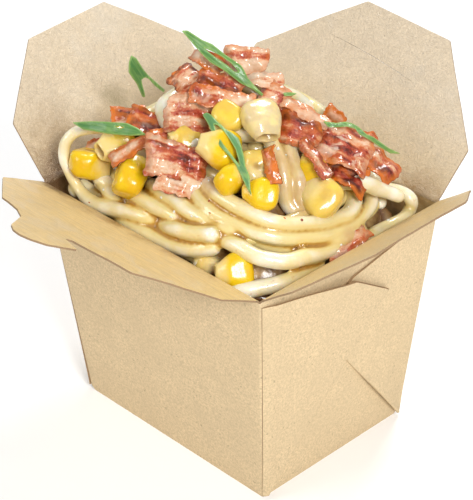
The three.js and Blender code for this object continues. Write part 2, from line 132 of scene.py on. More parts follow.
# The heap of noodles, as in the solids.
HEAP = {"a": 47, "b": 38, "power": 4, "peak": 36, "foot": -4, "peak_at": (-8, 8), "roundness": 0.8}
STRANDS = (
    ((8, -22, 17), (13, -25, 17.5), (19, -26, 17), (30, -24, 15), (37, -19, 12), (41, -9, 9),
     (42, 2, 6), (42, 10, 7), (38, 15, 10), (32, 14, 14)),
    ((2, -24, 14), (10, -28, 14), (16, -29.5, 13), (21, -29, 12), (27, -27, 11), (36, -23, 9),
     (42, -13, 6), (44, 1, 3), (43, 13, 3), (40, 22, 6), (36, 19, 11)),
    ((-15, -27, 8.5), (-7, -30, 10), (3, -32, 11.5), (11.5, -32.5, 11), (16, -32, 10.5),
     (20.5, -31, 9.5), (26, -29, 9), (28, -27, 8), (35, -22, 5), (40, -16, 3), (43, -9, 2),
     (45, -2, 1), (46, 6, 0), (45, 14, -2)),
    ((-1.5, -24, 10.5), (7, -27, 10), (13.5, -28, 9.5), (19, -28, 9.5), (24, -27, 8.5)),
    ((19, -30, 5.5), (25.5, -31, 6), (32, -31, 6), (38, -30, 5), (42, -27, 4), (45, -23, 3),
     (46, -17, 2), (46, -10, 0), (46, -2, -1), (45, 7, -3)),
    ((31.5, -37, -8), (38.5, -36, -5), (42, -31, -4.5), (45.5, -24, -4), (46, -15, -4.5), (46, -7, -5.5)),
    ((-29, -20, 20), (-36, -25, 20), (-42, -30, 20), (-45.5, -34.5, 18), (-46.5, -37.5, 12),
     (-43.5, -38, 6), (-39.5, -37.5, 0.5), (-32.5, -38, -1.5), (-24, -38, 0), (-13, -37.5, 2.5),
     (-5.5, -36, 3), (-1, -33, 1.5), (1.5, -30, -0.5)),
    ((-4, -33, 0.5), (3, -35.5, 3.5), (9, -36.5, 5.5), (15, -36, 6.5), (21, -35, 8), (25.5, -34, 9)),
    ((-21, -36, -4), (-15, -38, -2), (-7.5, -38.5, -1), (0.5, -38.5, -1), (9, -38, -0.5), (16, -37, 1),
     (21.5, -35, 3), (25, -32.5, 4.5)),
    ((-22, -31, 4), (-13.5, -33.5, 6.5), (-6, -34.5, 7.5), (0, -34.5, 8), (5.5, -34, 7.5),
     (10.5, -32.5, 6.5), (15, -31, 6), (18.5, -28.5, 5.5)),
    ((-51, -28, -6), (-39.5, -31, -4.5), (-31, -31.5, -2.5), (-22, -31.5, 0), (-16.5, -30.5, 0),
     (-12.5, -29, -1)),
    ((26, 15, 19), (33, 19, 14), (37, 24, 9), (41, 29, 6), (44, 33, 4), (47, 34, 2), (47, 34, -1),
     (48, 30, -3), (47, 25, -4), (47, 18, -4), (47, 10, -4)),
    ((34, 8, 14), (38, 11, 15), (42, 14, 15), (43, 17, 13.5), (44, 20, 11.5), (45.5, 23, 9.5),
     (47.5, 26, 7.5), (48, 29, 5.5)),
    ((13, 1, 33), (19, -3.5, 28.5), (24.5, -5.5, 24.5), (28.5, -7.5, 19.5), (31.5, -8.5, 12.5),
     (35.5, -7, 9)),
    ((17, 4, 33), (22.5, 0, 27.5), (27.5, -2, 22), (31.5, -4, 18.5), (33.5, -5, 13.5), (37.5, -4, 10)),
    ((11, 5, 31), (17, 1, 26), (23.5, -0.5, 20), (27, -2.5, 14.5), (30.5, -4, 9)),
)
# Wreaths of noodles: (start, end) in degrees round the heap, reach from 0 at the peak to 1 at
# its foot, drift of the reach along the noodle, and lift off the heap's surface.
WREATHS = (
    (35, 165, 0.97, -0.14, 0), (95, 235, 0.93, -0.25, 2), (20, 150, 0.74, 0.14, 0),
    (120, 250, 0.62, 0.2, 1), (50, 190, 0.66, -0.26, 2), (150, 280, 0.45, 0.12, 0),
    (300, 470, 0.42, 0.05, 0), (60, 250, 0.24, 0.12, 0), (175, 245, 0.9, 0.06, -1),
)
# Loops that stand free of the heap, drawn out thin: place, reach and thickness.
THIN_LOOPS = (((-43, -33, 12), 14, 0.74), ((47, 27, 3), 11, 0.84))
# Lumps of thick cream sauce on the noodles: place and radii along x, y and z.
CREAM_LUMPS = (
    ((-42, -37.5, -0.5), (2.8, 2.2, 3.0)), ((-33, -32, 4.5), (5.5, 3.0, 2.4)),
    ((19, -36.6, -3.8), (2.6, 2.2, 3.2)), ((16, -37, -6.5), (2.4, 1.9, 2.0)),
)
# Brown on the noodles: half see-through sauce, and painted shade under the bacon and corn: places where it
# colours the noodles, and its reach.
BROTH_AND_SHADE_SPOTS = (
    ((31, -5, 19), 11), ((26, -5, 24), 10), ((35, -6, 12), 7), ((-24, -26, 15), 9),
    ((-42, -28, 8), 9), ((-5, -27, 14), 8), ((40, 20, 12), 8), ((14, -26, 19), 5), ((-6, -38, -4), 4),
    ((33, 6, 17), 9), ((27, -21, 17), 6), ((48, 4, 0), 7), ((30, -36, -5), 5),
)

# Kernels: (x, y, height above the rim), (yaw, pitch, roll) in degrees, and scale.
KERNEL_PLACES = (
    ((-39, -33, 9), (222, 12, 20), 1.35),
    ((-31, -27, 17), (84, 0, 30), 1.3),
    ((-18, -33, 12), (-70, -34, 55), 1.35),
    ((6, -11, 35), (80, 40, 30), 1.1),
    ((11, -19, 29), (30, -10, 40), 1.3),
    ((17, -6, 37), (152, 30, 10), 1.3),
    ((20, -23, 23), (235, -40, 45), 1.1),
    ((30, -19, 20), (35, -5, 50), 1.1),
    ((23, -15, 26), (150, 40, 10), 1.0),
    ((32, 2, 21), (-30, -50, 20), 1.0),
    ((38, 0, 14), (10, -25, 40), 1.35),
    ((-5, -19, 26), (50, 0, 50), 1.05),
    ((33, -34, -1), (50, 5, 55), 1.2),
    ((21, -34, -4), (200, 0, 30), 0.9),
)
# How pale each kernel is, from 0 to 1.
KERNEL_PALENESS = (0.0, 0.05, 0.0, 0.25, 0.0, 0.9, 0.0, 0.0, 0.4, 0.0, 0.35, 0.3, 0.0, 0.6)
# How far each kernel's pale foot reaches along it.
KERNEL_FEET = (0.12, 0.22, -0.1, 0.1, 0.22, 0.3, 0.0, -0.15, 0.3, 0.0, 0.24, -0.1, 0.12, 0.3)
# Pits in a kernel's side: place along it, bearing round it in degrees, and reach.
KERNEL_PITS = {9: (0.4, 90, 0.18)}
# The width of a kernel's foot, where 1 is its widest part, and of those that were cut off broad.
KERNEL_FOOT = 0.44
BROAD_FEET = {6: 0.6, 9: 0.7, 11: 0.66, 14: 0.7}
# Slices of bacon: place, (length, width), (yaw, pitch, roll) in degrees, and arch.
RASHER_PLACES = (
    ((-2, 6, 47), (15, 9), (48, 3, 55), 0.8),
    ((-13, -2, 45), (12, 6), (20, -20, 30), 3),
    ((-18.5, -5.6, 37.7), (11, 9), (80, 20, 30), 1.5),
    ((-4, -4, 42), (16, 7), (20, -15, 35), -1),
    ((4, 8, 41), (13, 7), (45, -5, 40), 1),
    ((11, 6, 37), (12, 11), (20, -10, 40), 1.2),
    ((-8, -15, 34), (15, 16), (45, 0, 52), 1.5),
    ((1, -9, 39), (22, 8), (38, -8, 45), 1),
    ((-36, -18, 22), (12, 8), (50, 0, 40), 1.5),
    ((-22, -20, 27), (14, 10), (30, -10, 35), -1.2),
    ((-18, -28, 22), (24, 5), (50, 28, 40), 1.5),
    ((-1, -28, 23), (21, 13), (35, -12, 48), 1.5),
    ((4, -30, 17), (17, 9), (35, -14, 48), 1),
    ((22, 9, 35), (18, 5), (30, -25, 30), 1),
    ((24, 4, 31), (15, 11), (30, -10, 40), 1.5),
    ((35, 14, 25), (19, 14), (25, -18, 30), 1),
    ((34, 1, 26), (17, 4.5), (0, -35, 20), 0.6),
    ((38, 11, 17), (15, 8), (30, -15, 25), 1.5),
    ((40, 25, 16), (16, 10), (15, -30, 10), 1.5),
    ((22.2, 23.8, 28.2), (8, 4.5), (30, -30, 50), 0.5),
    ((29, -14, 28), (14, 5), (-30, -30, 30), 1),
    ((48.3, 2, -1), (19, 6), (90, 15, 35), 0.5),
    ((-41.4, -27.2, 12.6), (8, 5), (40, 10, 40), 0.5),
)
# Each slice's share of fat, of orange frying and of char at its edges, from 0 to 1.
BACON_LOOKS = (
    (0.62, 0.35, 0.1), (0.60, 0.8, 0.3), (0.38, 0.6, 0.9), (0.05, 0.5, 0.6), (0.80, 0.3, 0.0),
    (0.38, 0.4, 0.2), (0.50, 0.3, 0.2), (0.62, 0.55, 0.2), (0.25, 1.0, 0.2), (0.12, 0.8, 0.5),
    (0.45, 1.0, 0.3), (0.46, 0.35, 0.3), (0.60, 0.2, 0.1), (0.82, 0.5, 0.1), (0.32, 0.5, 0.4),
    (0.55, 0.5, 0.2), (0.20, 0.4, 0.5), (0.22, 0.9, 0.4), (0.20, 0.8, 0.2), (0.72, 0.7, 0.1),
    (0.33, 1.0, 0.2), (0.50, 0.5, 0.4), (0.80, 0.5, 0.1),
)
# Slivers of onion: their two tips, bow, tint from green to bluish, outline and hole as
# (along, across) from the middle between the tips.
SLIVERS = (
    {
        "ends": ((-32, -18.1, 46.6), (-30.8, -8.5, 27.4)), "bow": 0.5, "blue": 0.5,
        "outline": (
            (-10.8, 0.2), (-9, 1.1), (-3.3, 1.2), (0, 1.6), (10, 3.8), (10.3, 3.1), (5, 1.7), (0.9, 1.2),
            (-0.6, 0.3), (-0.4, -1.1), (1.5, -1.7), (7.5, -3), (7.2, -3.8), (0.8, -3.1), (-5.1, -3.4),
            (-8.8, -1.7),
        ),
        "hole": (),
    },
    {
        "ends": ((-15.9, -9.6, 58.2), (8.5, 4.2, 39)), "bow": 1.5, "blue": 0.0,
        "outline": (
            (-17.1, 0.2), (-15.7, 1.3), (-10.2, 1.6), (-6.7, 2.5), (-1, 2.3), (4.9, 2.6), (6.5, 2),
            (9.2, 0.6), (14.1, -0.3), (16.8, -0.5), (17.1, -1.2), (12.6, -1.2), (8.4, -2), (1.4, -1.9),
            (-3.6, -2.5), (-7.9, -1.9), (-12.7, -0.8),
        ),
        "hole": (
            (-8.2, 0.1), (-5.1, 0.8), (-1.8, 1.2), (1.8, 1.3), (5.6, 0.6), (4.6, -0.3), (1.3, -0.1),
            (-2.7, -0.3), (-6.3, -0.3),
        ),
    },
    {
        "ends": ((-41, -36.8, 26.6), (-16.2, -26.9, 26.6)), "bow": 1.0, "blue": 0.25,
        "outline": (
            (-13.5, -1), (-7, 0.5), (-0.8, 1.5), (6.3, 2.4), (10.3, 1.5), (13.3, 0), (8.3, -1.3), (0.2, -2.2),
            (-5.6, -2.3), (-9.1, -2.5),
        ),
        "hole": ((2.1, 0.4), (3.8, 1.1), (5.8, 1.0), (4.7, 0.2)),
    },
    {
        "ends": ((1.3, -14.9, 37.2), (31.6, -22.2, 23.7)), "bow": 2.5, "blue": 1.0,
        "outline": (
            (-17.2, -2), (-17, -0.6), (-15.8, 0), (-10.8, 0.8), (-6.8, 1.6), (-4.1, 2.8), (-1.5, 3.5),
            (1.7, 2.8), (5.4, 1.7), (8.6, 0.4), (12.1, -0.2), (15.7, -2.2), (17.1, -2.8), (14.3, -2.7),
            (10.2, -2.2), (6.5, -1.7), (2.2, -2), (-1.9, -2.7), (-6, -3.4), (-9.3, -2.4), (-13.9, -2),
        ),
        "hole": (
            (-11, -0.6), (-9.7, 0.3), (-5.5, 1), (-2.3, 1), (1.6, 0.9), (5.7, -0.2), (7.5, -0.9),
            (5.1, -1.1), (-2.6, -1.7), (-6.4, -1.6), (-9, -1.2),
        ),
    },
    {
        "ends": ((30.2, 9.5, 36.1), (46, 29.3, 22.2)), "bow": 2.5, "blue": 0.35,
        "outline": (
            (-14.4, -0.9), (-10.7, 0), (-8.1, 1.5), (-5.9, 1.9), (-3.2, 1.6), (0.1, 0.4), (2.4, 0.5),
            (5.7, -0.1), (9.5, -0.8), (14.4, -0.8), (11.1, -1.9), (7, -1.6), (1.7, -0.7), (-1.9, -0.4),
            (-4.4, 0.8), (-7.1, 0.4), (-10.2, -1.2), (-12.5, -2),
        ),
        "hole": (),
    },
    {
        "ends": ((14.7, 6.2, 41), (16.8, 10.2, 39.4)), "bow": 0.2, "blue": 0.0,
        "outline": ((-2.3, 0), (-0.1, 0.5), (2.4, 0.5), (0.1, -0.6), (-1.7, -0.9)),
        "hole": (),
    },
)
# The way the slivers face.
SLIVER_FACING = Vector((0.61, -0.58, 0.54))

# Camera: where it stands, in metres, and how it is turned, in degrees.
CAMERA_AT = (0.4191, -0.4024, 0.4358)
CAMERA_TURN = {"azimuth": 46.303, "elevation": 32.569, "roll": -0.978}


def above_rim(point):
    """A place in millimetres, with its height above the rim, as a vector in metres."""
    x, y, z = point
    return Vector((x * MM, y * MM, HEIGHT + z * MM))


def turned(place, turn):
    """The matrix of a topping's place and its yaw, pitch and roll."""
    yaw, pitch, roll = (math.radians(angle) for angle in turn)
    spin = Matrix.Rotation(yaw, 4, "Z") @ Matrix.Rotation(-pitch, 4, "Y") @ Matrix.Rotation(roll, 4, "X")
    return Matrix.Translation(above_rim(place)) @ spin


def lerp(a, b, t):
    """The number that lies a share t of the way from a to b."""
    return a + (b - a) * t


def smooth(low, high, x):
    """0 below low, 1 above high, and a soft step between."""
    t = min(max((x - low) / (high - low), 0.0), 1.0)
    return t * t * (3 - 2 * t)


def wander(x, y=0.0, z=0.0):
    """Smooth noise from -1 to 1."""
    return noise.noise(Vector((x, y, z)))


def squared(c, s, power):
    """How far a rounded square reaches in the direction of a cosine and a sine."""
    return (abs(c) ** power + abs(s) ** power) ** (-1 / power)


# ------------------------------------------------------------------ settings
def metres(name, description, default):
    return bpy.props.FloatProperty(
        name=name, description=description, default=default, unit="LENGTH", precision=5, min=0
    )


def colour(name, description, default):
    return bpy.props.FloatVectorProperty(
        name=name, description=description, default=default, subtype="COLOR", size=3, min=0, max=1
    )


class BoardSettings(bpy.types.PropertyGroup):
    """Sizes and colours of the board."""

    thickness: metres("Board", "Thickness of the board", 0.6 * MM)
    base_length: metres("Base length", "Length of the base", 89 * MM)
    base_width: metres("Base width", "Width of the base", 68 * MM)
    corner_radius: metres("Corner radius", "Outer radius of the upright folds", 1.0 * MM)
    outer: colour("Outside", "Bare brown board", (0.632, 0.484, 0.290))
    inner: colour("Inside", "Coated inner face of the board", (0.665, 0.545, 0.39))
    greased: colour("Greased", "Inner face that grease has soaked", (0.71, 0.51, 0.225))
    # Brown stains next to the food, and painted shade deep in the box below the rim.
    stain_and_shade: colour("Stain", "Brown stains next to the food", (0.40, 0.21, 0.06))
    cut: colour("Cut edge", "Edge of the board where it was cut", (0.34, 0.22, 0.12))


class NoodleSettings(bpy.types.PropertyGroup):
    """Sizes and colours of the noodles."""

    radius: metres("Radius", "Half the thickness of a noodle", 2.8 * MM)
    step: metres("Step", "Length between two rings of a noodle", 1.2 * MM)
    waver: metres("Waver", "How far a noodle strays from its path", 0.25 * MM)
    sauce: metres("Sauce", "How far sauce fills the gaps between noodles", 0.1 * MM)
    grain: metres("Grain", "Size of the finest form in the sauced noodles", 0.58 * MM)
    sides: bpy.props.IntProperty(name="Sides", description="Sides of a noodle", default=16, min=6)
    under_count: bpy.props.IntProperty(
        name="Lower noodles", description="Noodles below those on top", default=22, min=0
    )
    seed: bpy.props.IntProperty(name="Seed", description="Seed of the lower noodles", default=7)
    dough: colour("Dough", "Colour of the noodles", (0.76, 0.625, 0.27))
    cream: colour("Cream", "Colour where sauce coats them", (0.87, 0.83, 0.68))
    # Groove: painted shade down between two noodles, amber with the sauce that pools there.
    groove: colour("Groove", "Colour down between two noodles", (0.62, 0.39, 0.07))
    # Deep: painted dark shade where noodles lie deep in the box, in the heap or in narrow grooves.
    deep: colour("Deep", "Colour of what lies deep between them", (0.14, 0.05, 0.008))
    # Brown sauce, and also the painted shade on noodles under the bacon and corn.
    broth_and_shade: colour("Broth", "Colour of the brown sauce", (0.62, 0.42, 0.18))


class ToppingSettings(bpy.types.PropertyGroup):
    """Sizes and colours of the toppings."""

    kernel_length: metres("Kernel length", "Length of a kernel of scale 1", 11 * MM)
    kernel_width: metres("Kernel width", "Width of a kernel of scale 1", 10.2 * MM)
    kernel_depth: metres("Kernel depth", "Depth of a kernel of scale 1", 7.8 * MM)
    bacon_thickness: metres("Bacon", "Thickness of the bacon", 2.0 * MM)
    onion_thickness: metres("Onion", "Thickness of the onion", 0.6 * MM)
    corn: colour("Corn", "Skin of the kernels", (0.78, 0.535, 0.008))
    corn_foot: colour("Corn foot", "Pale foot of the kernels", (0.80, 0.62, 0.24))
    lean: colour("Lean", "Lean of the bacon", (0.34, 0.036, 0.016))
    fat: colour("Fat", "Fat of the bacon", (0.67, 0.36, 0.20))
    white_fat: colour("White fat", "Palest fat of the bacon", (0.76, 0.57, 0.40))
    fried: colour("Fried", "Orange fried fat", (0.64, 0.16, 0.012))
    char: colour("Char", "Charred edges of the bacon", (0.07, 0.012, 0.008))
    leaf: colour("Leaf", "Skin of the green onion", (0.055, 0.19, 0.03))
    leaf_blue: colour("Bluish leaf", "Bluish green onion", (0.07, 0.21, 0.08))
    leaf_light: colour("Leaf inside", "Cut faces of the green onion", (0.29, 0.46, 0.13))


class StageSettings(bpy.types.PropertyGroup):
    """Floor, light and camera."""

    floor: colour("Floor", "Pale floor", (0.92, 0.92, 0.92))
    floor_size: metres("Floor size", "Side of the floor", 12.0)
    key_power: bpy.props.FloatProperty(name="Key", description="Key light in watts", default=11.0)
    fill_power: bpy.props.FloatProperty(name="Fill", description="Fill light in watts", default=5.0)
    top_power: bpy.props.FloatProperty(name="Top", description="Top light in watts", default=9.6)
    sky: bpy.props.FloatProperty(name="Sky", description="Strength of the sky", default=0.37)
    lens: bpy.props.FloatProperty(name="Lens", description="Focal length in mm", default=143.84)


# ------------------------------------------------------------------ shader helpers
class Shader:
    """Builds one node material, a node at a time."""

    def __init__(self, name):
        self.material = bpy.data.materials.new(name)
        self.material.use_nodes = True
        self.tree = self.material.node_tree
        self.surface = self.tree.nodes["Principled BSDF"]
        self.place = self.add("ShaderNodeTexCoord").outputs["Object"]

    def add(self, kind, **inputs):
        node = self.tree.nodes.new(kind)
        for key, value in inputs.items():
            self.feed(node.inputs[key.replace("_", " ")], value)
        return node

    def feed(self, socket, value):
        if isinstance(value, bpy.types.NodeSocket):
            self.tree.links.new(value, socket)
        elif hasattr(value, "__len__") and len(value) == 3 and socket.type == "RGBA":
            socket.default_value = (*value, 1)
        else:
            socket.default_value = value

    def noise(self, scale, detail=2.0, roughness=0.5, distortion=0.0, vector=None):
        node = self.add("ShaderNodeTexNoise", Scale=scale, Detail=detail, Roughness=roughness)
        node.inputs["Distortion"].default_value = distortion
        self.feed(node.inputs["Vector"], vector or self.place)
        return node.outputs["Fac"]

    def streaks(self, vector, scale, **settings):
        """Noise with a scale of its own along each axis of a vector."""
        node = self.add("ShaderNodeMapping", Vector=vector)
        node.inputs["Scale"].default_value = scale
        return self.noise(1.0, vector=node.outputs["Vector"], **settings)

    def attribute(self, name, output="Fac"):
        node = self.add("ShaderNodeAttribute")
        node.attribute_name = name
        return node.outputs[output]

    def remap(self, value, low, high, to_low=0.0, to_high=1.0):
        node = self.tree.nodes.new("ShaderNodeMapRange")
        node.interpolation_type = "SMOOTHSTEP"
        for key, number in (("From Min", low), ("From Max", high), ("To Min", to_low), ("To Max", to_high)):
            self.feed(node.inputs[key], number)
        self.feed(node.inputs["Value"], value)
        return node.outputs["Result"]

    def math(self, operation, a, b=0.0):
        node = self.tree.nodes.new("ShaderNodeMath")
        node.operation = operation
        self.feed(node.inputs[0], a)
        self.feed(node.inputs[1], b)
        return node.outputs[0]

    def plus(self, a, b):
        return self.math("ADD", a, b)

    def minus(self, a, b):
        return self.math("SUBTRACT", a, b)

    def times(self, a, b):
        return self.math("MULTIPLY", a, b)

    def mix(self, factor, a, b, blend="MIX"):
        node = self.tree.nodes.new("ShaderNodeMix")
        node.data_type = "RGBA"
        node.blend_type = blend
        self.feed(node.inputs[0], factor)
        self.feed(node.inputs[6], a)
        self.feed(node.inputs[7], b)
        return node.outputs[2]

    def ramp(self, value, stops):
        node = self.add("ShaderNodeValToRGB", Fac=value)
        elements = node.color_ramp.elements
        while len(elements) < len(stops):
            elements.new(0.5)
        for element, (position, shade) in zip(elements, stops):
            element.position = position
            element.color = (*shade, 1)
        return node.outputs["Color"]

    def axis(self, vector, index):
        return self.add("ShaderNodeSeparateXYZ", Vector=vector).outputs[index]

    def bump(self, height, strength, distance):
        node = self.add("ShaderNodeBump", Height=height)
        node.inputs["Strength"].default_value = strength
        node.inputs["Distance"].default_value = distance
        self.feed(self.surface.inputs["Normal"], node.outputs["Normal"])

    def finish(self, base, **constants):
        self.feed(self.surface.inputs["Base Color"], base)
        for key, value in constants.items():
            self.feed(self.surface.inputs[key.replace("_", " ")], value)
        return self.material


def once(make):
    """Makes a material the first time it is asked for, and gives the same one after."""
    made = {}

    def get(settings):
        if make.__name__ not in made:
            made[make.__name__] = make(settings)
        return made[make.__name__]

    return get


# ------------------------------------------------------------------ materials
# Shades that go with the colours of the settings.
SHEEN_GREY_BOARD = (0.66, 0.60, 0.50)
AMBER_GROOVE_SHADE = (0.36, 0.16, 0.018)
SAUCE_FLECK = (0.62, 0.34, 0.12)
RICH_YELLOW = (0.74, 0.455, 0.006)
BOILED_YELLOW = (0.80, 0.64, 0.30)
BOILED_GREY = (0.62, 0.49, 0.28)
COB_BROWN_AND_SHADE = (0.34, 0.19, 0.05)
PINK_LEAN = (0.50, 0.115, 0.055)
CREAM_FILM = (0.78, 0.62, 0.46)
THIN_CREAM = (0.84, 0.80, 0.68)


def scaled(shade, amount):
    """A shade made darker or lighter."""
    return [min(channel * amount, 1) for channel in shade]


def paper_grain(shader, base, contrast):
    """Board fibres, specks and clouds over a base colour."""
    clouds = shader.noise(60, detail=4, roughness=0.6)
    grain = shader.noise(1300, detail=3, roughness=0.75)
    tone = shader.mix(shader.remap(grain, 0.28, 0.72), scaled(base, 1 - contrast), scaled(base, 1 + contrast))
    tone = shader.mix(shader.remap(clouds, 0.3, 0.7), shader.mix(0.5, tone, scaled(base, 0.9)), tone)
    for scale, shade, share in ((330, 1.25, 0.5), (460, 0.68, 0.42)):
        fibres = shader.noise(scale, detail=3, distortion=2.2)
        line = shader.remap(shader.math("ABSOLUTE", shader.minus(fibres, 0.5)), 0.0, 0.022, 1, 0)
        patchy = shader.remap(shader.noise(scale * 0.55, detail=1), 0.5, 0.62)
        amount = shader.times(shader.times(line, patchy), share)
        tone = shader.mix(amount, tone, scaled(base, shade))
    specks = shader.remap(shader.noise(800, detail=1), 0.71, 0.75)
    tone = shader.mix(shader.times(specks, 0.55), tone, scaled(base, 0.5))
    return tone, grain


@once
def bare_board(settings):
    """Outside of the board: dull, with fibres and specks."""
    shader = Shader("bare_board")
    tone, grain = paper_grain(shader, settings.board.outer, 0.2)
    shader.bump(grain, 0.35, 0.00025)
    return shader.finish(tone, Roughness=0.85, Specular_IOR_Level=0.3)


@once
def coated_board(settings):
    """Inner face: finely wrinkled, with a sheen, painted highlights and painted shade along its crinkles and
    painted sheen in pale grey clouds, yellow where grease has soaked in and towards the rim, stained near the
    food, and with painted shade below the rim and in the corners."""
    shader = Shader("coated_board")
    board = settings.board
    tone, grain = paper_grain(shader, board.inner, 0.12)
    # Pale grey clouds: painted sheen on the coating.
    clouds = shader.noise(32, detail=4, roughness=0.65)
    tone = shader.mix(shader.remap(clouds, 0.46, 0.72, 0, 0.5), tone, SHEEN_GREY_BOARD)
    soaked = shader.attribute("soaked")
    height = shader.axis(shader.place, "Z")
    streaks = shader.noise(95, detail=4, distortion=1.2)
    near_food = shader.remap(height, HEIGHT, HEIGHT + 22 * MM, 1, 0)
    spread = shader.plus(shader.times(soaked, 1.1), shader.times(near_food, 0.35))
    spread = shader.times(spread, shader.remap(streaks, 0.25, 0.6, 0.55, 1.0))
    streaky = shader.streaks(shader.place, (110, 1500, 1500), detail=4, roughness=0.7)
    grease = shader.mix(
        shader.remap(streaky, 0.3, 0.7), scaled(board.greased, 0.88), scaled(board.greased, 1.16)
    )
    tone = shader.mix(spread, tone, grease)
    # Patchy brown stains near the rim, and painted shade that darkens the inner walls from 3 mm to 30 mm
    # below the rim.
    patches = shader.remap(shader.noise(150, detail=4, distortion=0.8), 0.5, 0.66)
    close = shader.remap(height, HEIGHT - 2 * MM, HEIGHT + 9 * MM, 1, 0)
    below = shader.remap(height, HEIGHT - 30 * MM, HEIGHT - 3 * MM, 0.6, 0)
    stain_and_shade = shader.plus(shader.times(shader.times(close, patches), 0.5), below)
    tone = shader.mix(stain_and_shade, tone, board.stain_and_shade)
    ragged = shader.noise(120, detail=4, roughness=0.65, distortion=0.6)
    # Spots of brown: food stains, and painted shade in the corners and beside the noodles.
    for spot, reach, depth, shade in STAINS_AND_SHADE:
        away = shader.add("ShaderNodeVectorMath")
        away.operation = "DISTANCE"
        shader.feed(away.inputs[0], shader.place)
        shader.feed(away.inputs[1], above_rim(spot))
        edge = shader.plus(away.outputs["Value"], shader.times(ragged, reach * MM))
        tone = shader.mix(shader.remap(edge, 0.5 * reach * MM, 1.5 * reach * MM, depth, 0), tone, shade)
    crinkles = shader.noise(300, detail=4, roughness=0.62, distortion=3.0)
    folds = shader.math("ABSOLUTE", shader.minus(crinkles, 0.5))
    dry = shader.minus(1.0, soaked)
    # Light and dark lines along the crinkles: painted highlights and painted shade on the wrinkled coating.
    for low, shade, share in ((0.0, 1.25, 0.65), (0.075, 0.8, 0.5)):
        line = shader.remap(shader.math("ABSOLUTE", shader.minus(folds, low)), 0.0, 0.022, 1, 0)
        tone = shader.mix(shader.times(shader.times(line, dry), share), tone, scaled(board.inner, shade))
    shader.bump(shader.plus(folds, shader.times(grain, 0.15)), 0.7, 0.0012)
    return shader.finish(tone, Roughness=0.38, Specular_IOR_Level=0.55)


@once
def cut_board(settings):
    """Cut edges of the board."""
    shader = Shader("cut_board")
    layers = shader.noise(2500, detail=1)
    tone = shader.mix(layers, scaled(settings.board.cut, 0.75), settings.board.cut)
    return shader.finish(tone, Roughness=0.95)


@once
def noodle_skin(settings):
    """Noodles: pale dough under cream sauce, with a painted highlight on their ridges, painted amber shade
    down in their grooves, painted dark shade where they lie deep, brown where broth colours them and painted
    shade under the toppings, always wet."""
    shader = Shader("noodle_skin")
    noodles = settings.noodles
    clouds = shader.noise(110, detail=4)
    groove = shader.attribute("groove")
    # Convex ridges take the cream colour: cream sauce, with a painted highlight along their tops.
    ridge_cream_and_highlight = shader.times(shader.remap(clouds, 0.36, 0.62, 0.25, 1), shader.remap(groove, -0.15, -0.6))
    tone = shader.mix(ridge_cream_and_highlight, noodles.dough, noodles.cream)
    # Painted shade down in the grooves between noodles, amber with pooled sauce, darker in the deeper
    # grooves.
    tone = shader.mix(shader.remap(groove, -0.05, 0.32, 0, 0.95), tone, noodles.groove)
    tone = shader.mix(shader.remap(groove, 0.16, 0.42, 0, 0.75), tone, AMBER_GROOVE_SHADE)
    # Brown broth on the noodles, and painted shade where they lie under the bacon and corn.
    broth_and_shade = shader.times(
        shader.attribute("broth_and_shade"), shader.remap(shader.noise(240, detail=3), 0.3, 0.6, 0.45, 0.95)
    )
    tone = shader.mix(broth_and_shade, tone, noodles.broth_and_shade)
    # Painted dark shade low in the box, deep under the heap's surface and at the bottom of narrow grooves.
    deep = shader.math("MAXIMUM", shader.attribute("deep"), shader.remap(groove, 0.5, 1.0, 0, 0.9))
    tone = shader.mix(deep, tone, noodles.deep)
    flecks = shader.remap(shader.noise(620, detail=2), 0.70, 0.76)
    tone = shader.mix(shader.times(flecks, 0.35), tone, SAUCE_FLECK)
    fine = shader.noise(1100, detail=3, roughness=0.6)
    shader.bump(shader.plus(fine, shader.noise(330, detail=2)), 0.25, 0.0005)
    shader.surface.inputs["Subsurface Radius"].default_value = (0.0016, 0.0010, 0.0004)
    return shader.finish(
        tone, Roughness=0.34, Subsurface_Weight=0.2, Subsurface_Scale=1.0,
        Coat_Weight=1.0, Coat_Roughness=0.1,
    )


@once
def shaded_deep_noodles(settings):
    """Wet noodles deep in the box, painted dark brown as shade."""
    shader = Shader("shaded_deep_noodles")
    noodles = settings.noodles
    tone = shader.mix(shader.remap(shader.noise(160, detail=3), 0.35, 0.75), noodles.deep, noodles.broth_and_shade)
    shader.bump(shader.noise(300, detail=2), 0.6, 0.001)
    return shader.finish(tone, Roughness=0.3, Coat_Weight=0.5, Coat_Roughness=0.15)


@once
def corn_skin(settings):
    """Kernels: strong yellow towards the crown, pale at the cut foot, brown with painted shade in its hollow
    and pits.
    """
    shader = Shader("corn_skin")
    toppings = settings.toppings
    length = shader.attribute("length")
    clouds = shader.noise(260, detail=3)
    up = shader.plus(length, shader.times(shader.minus(clouds, 0.5), 0.5))
    rich = shader.mix(shader.remap(shader.noise(150, detail=2), 0.4, 0.62), toppings.corn, RICH_YELLOW)
    tone = shader.mix(shader.remap(up, -0.02, 0.32), toppings.corn_foot, rich)
    pale = shader.times(shader.attribute("paleness"), shader.remap(clouds, 0.3, 0.55, 0.75, 1.0))
    tone = shader.mix(pale, tone, shader.mix(shader.remap(clouds, 0.35, 0.65), BOILED_YELLOW, BOILED_GREY))
    # The hollow foot and the pits: brown tip cap, and painted shade in the recess.
    hollow = shader.remap(shader.attribute("hollow"), 0.0, 1.0, 0, 0.75)
    tone = shader.mix(hollow, tone, COB_BROWN_AND_SHADE)
    shader.bump(shader.plus(shader.noise(800, detail=3), shader.noise(260, detail=1)), 0.22, 0.0005)
    shader.surface.inputs["Subsurface Radius"].default_value = (0.0030, 0.0016, 0.0003)
    return shader.finish(
        tone, Roughness=0.26, Specular_IOR_Level=0.3, Subsurface_Weight=0.2, Subsurface_Scale=1.0,
        Coat_Weight=0.5, Coat_Roughness=0.07,
    )


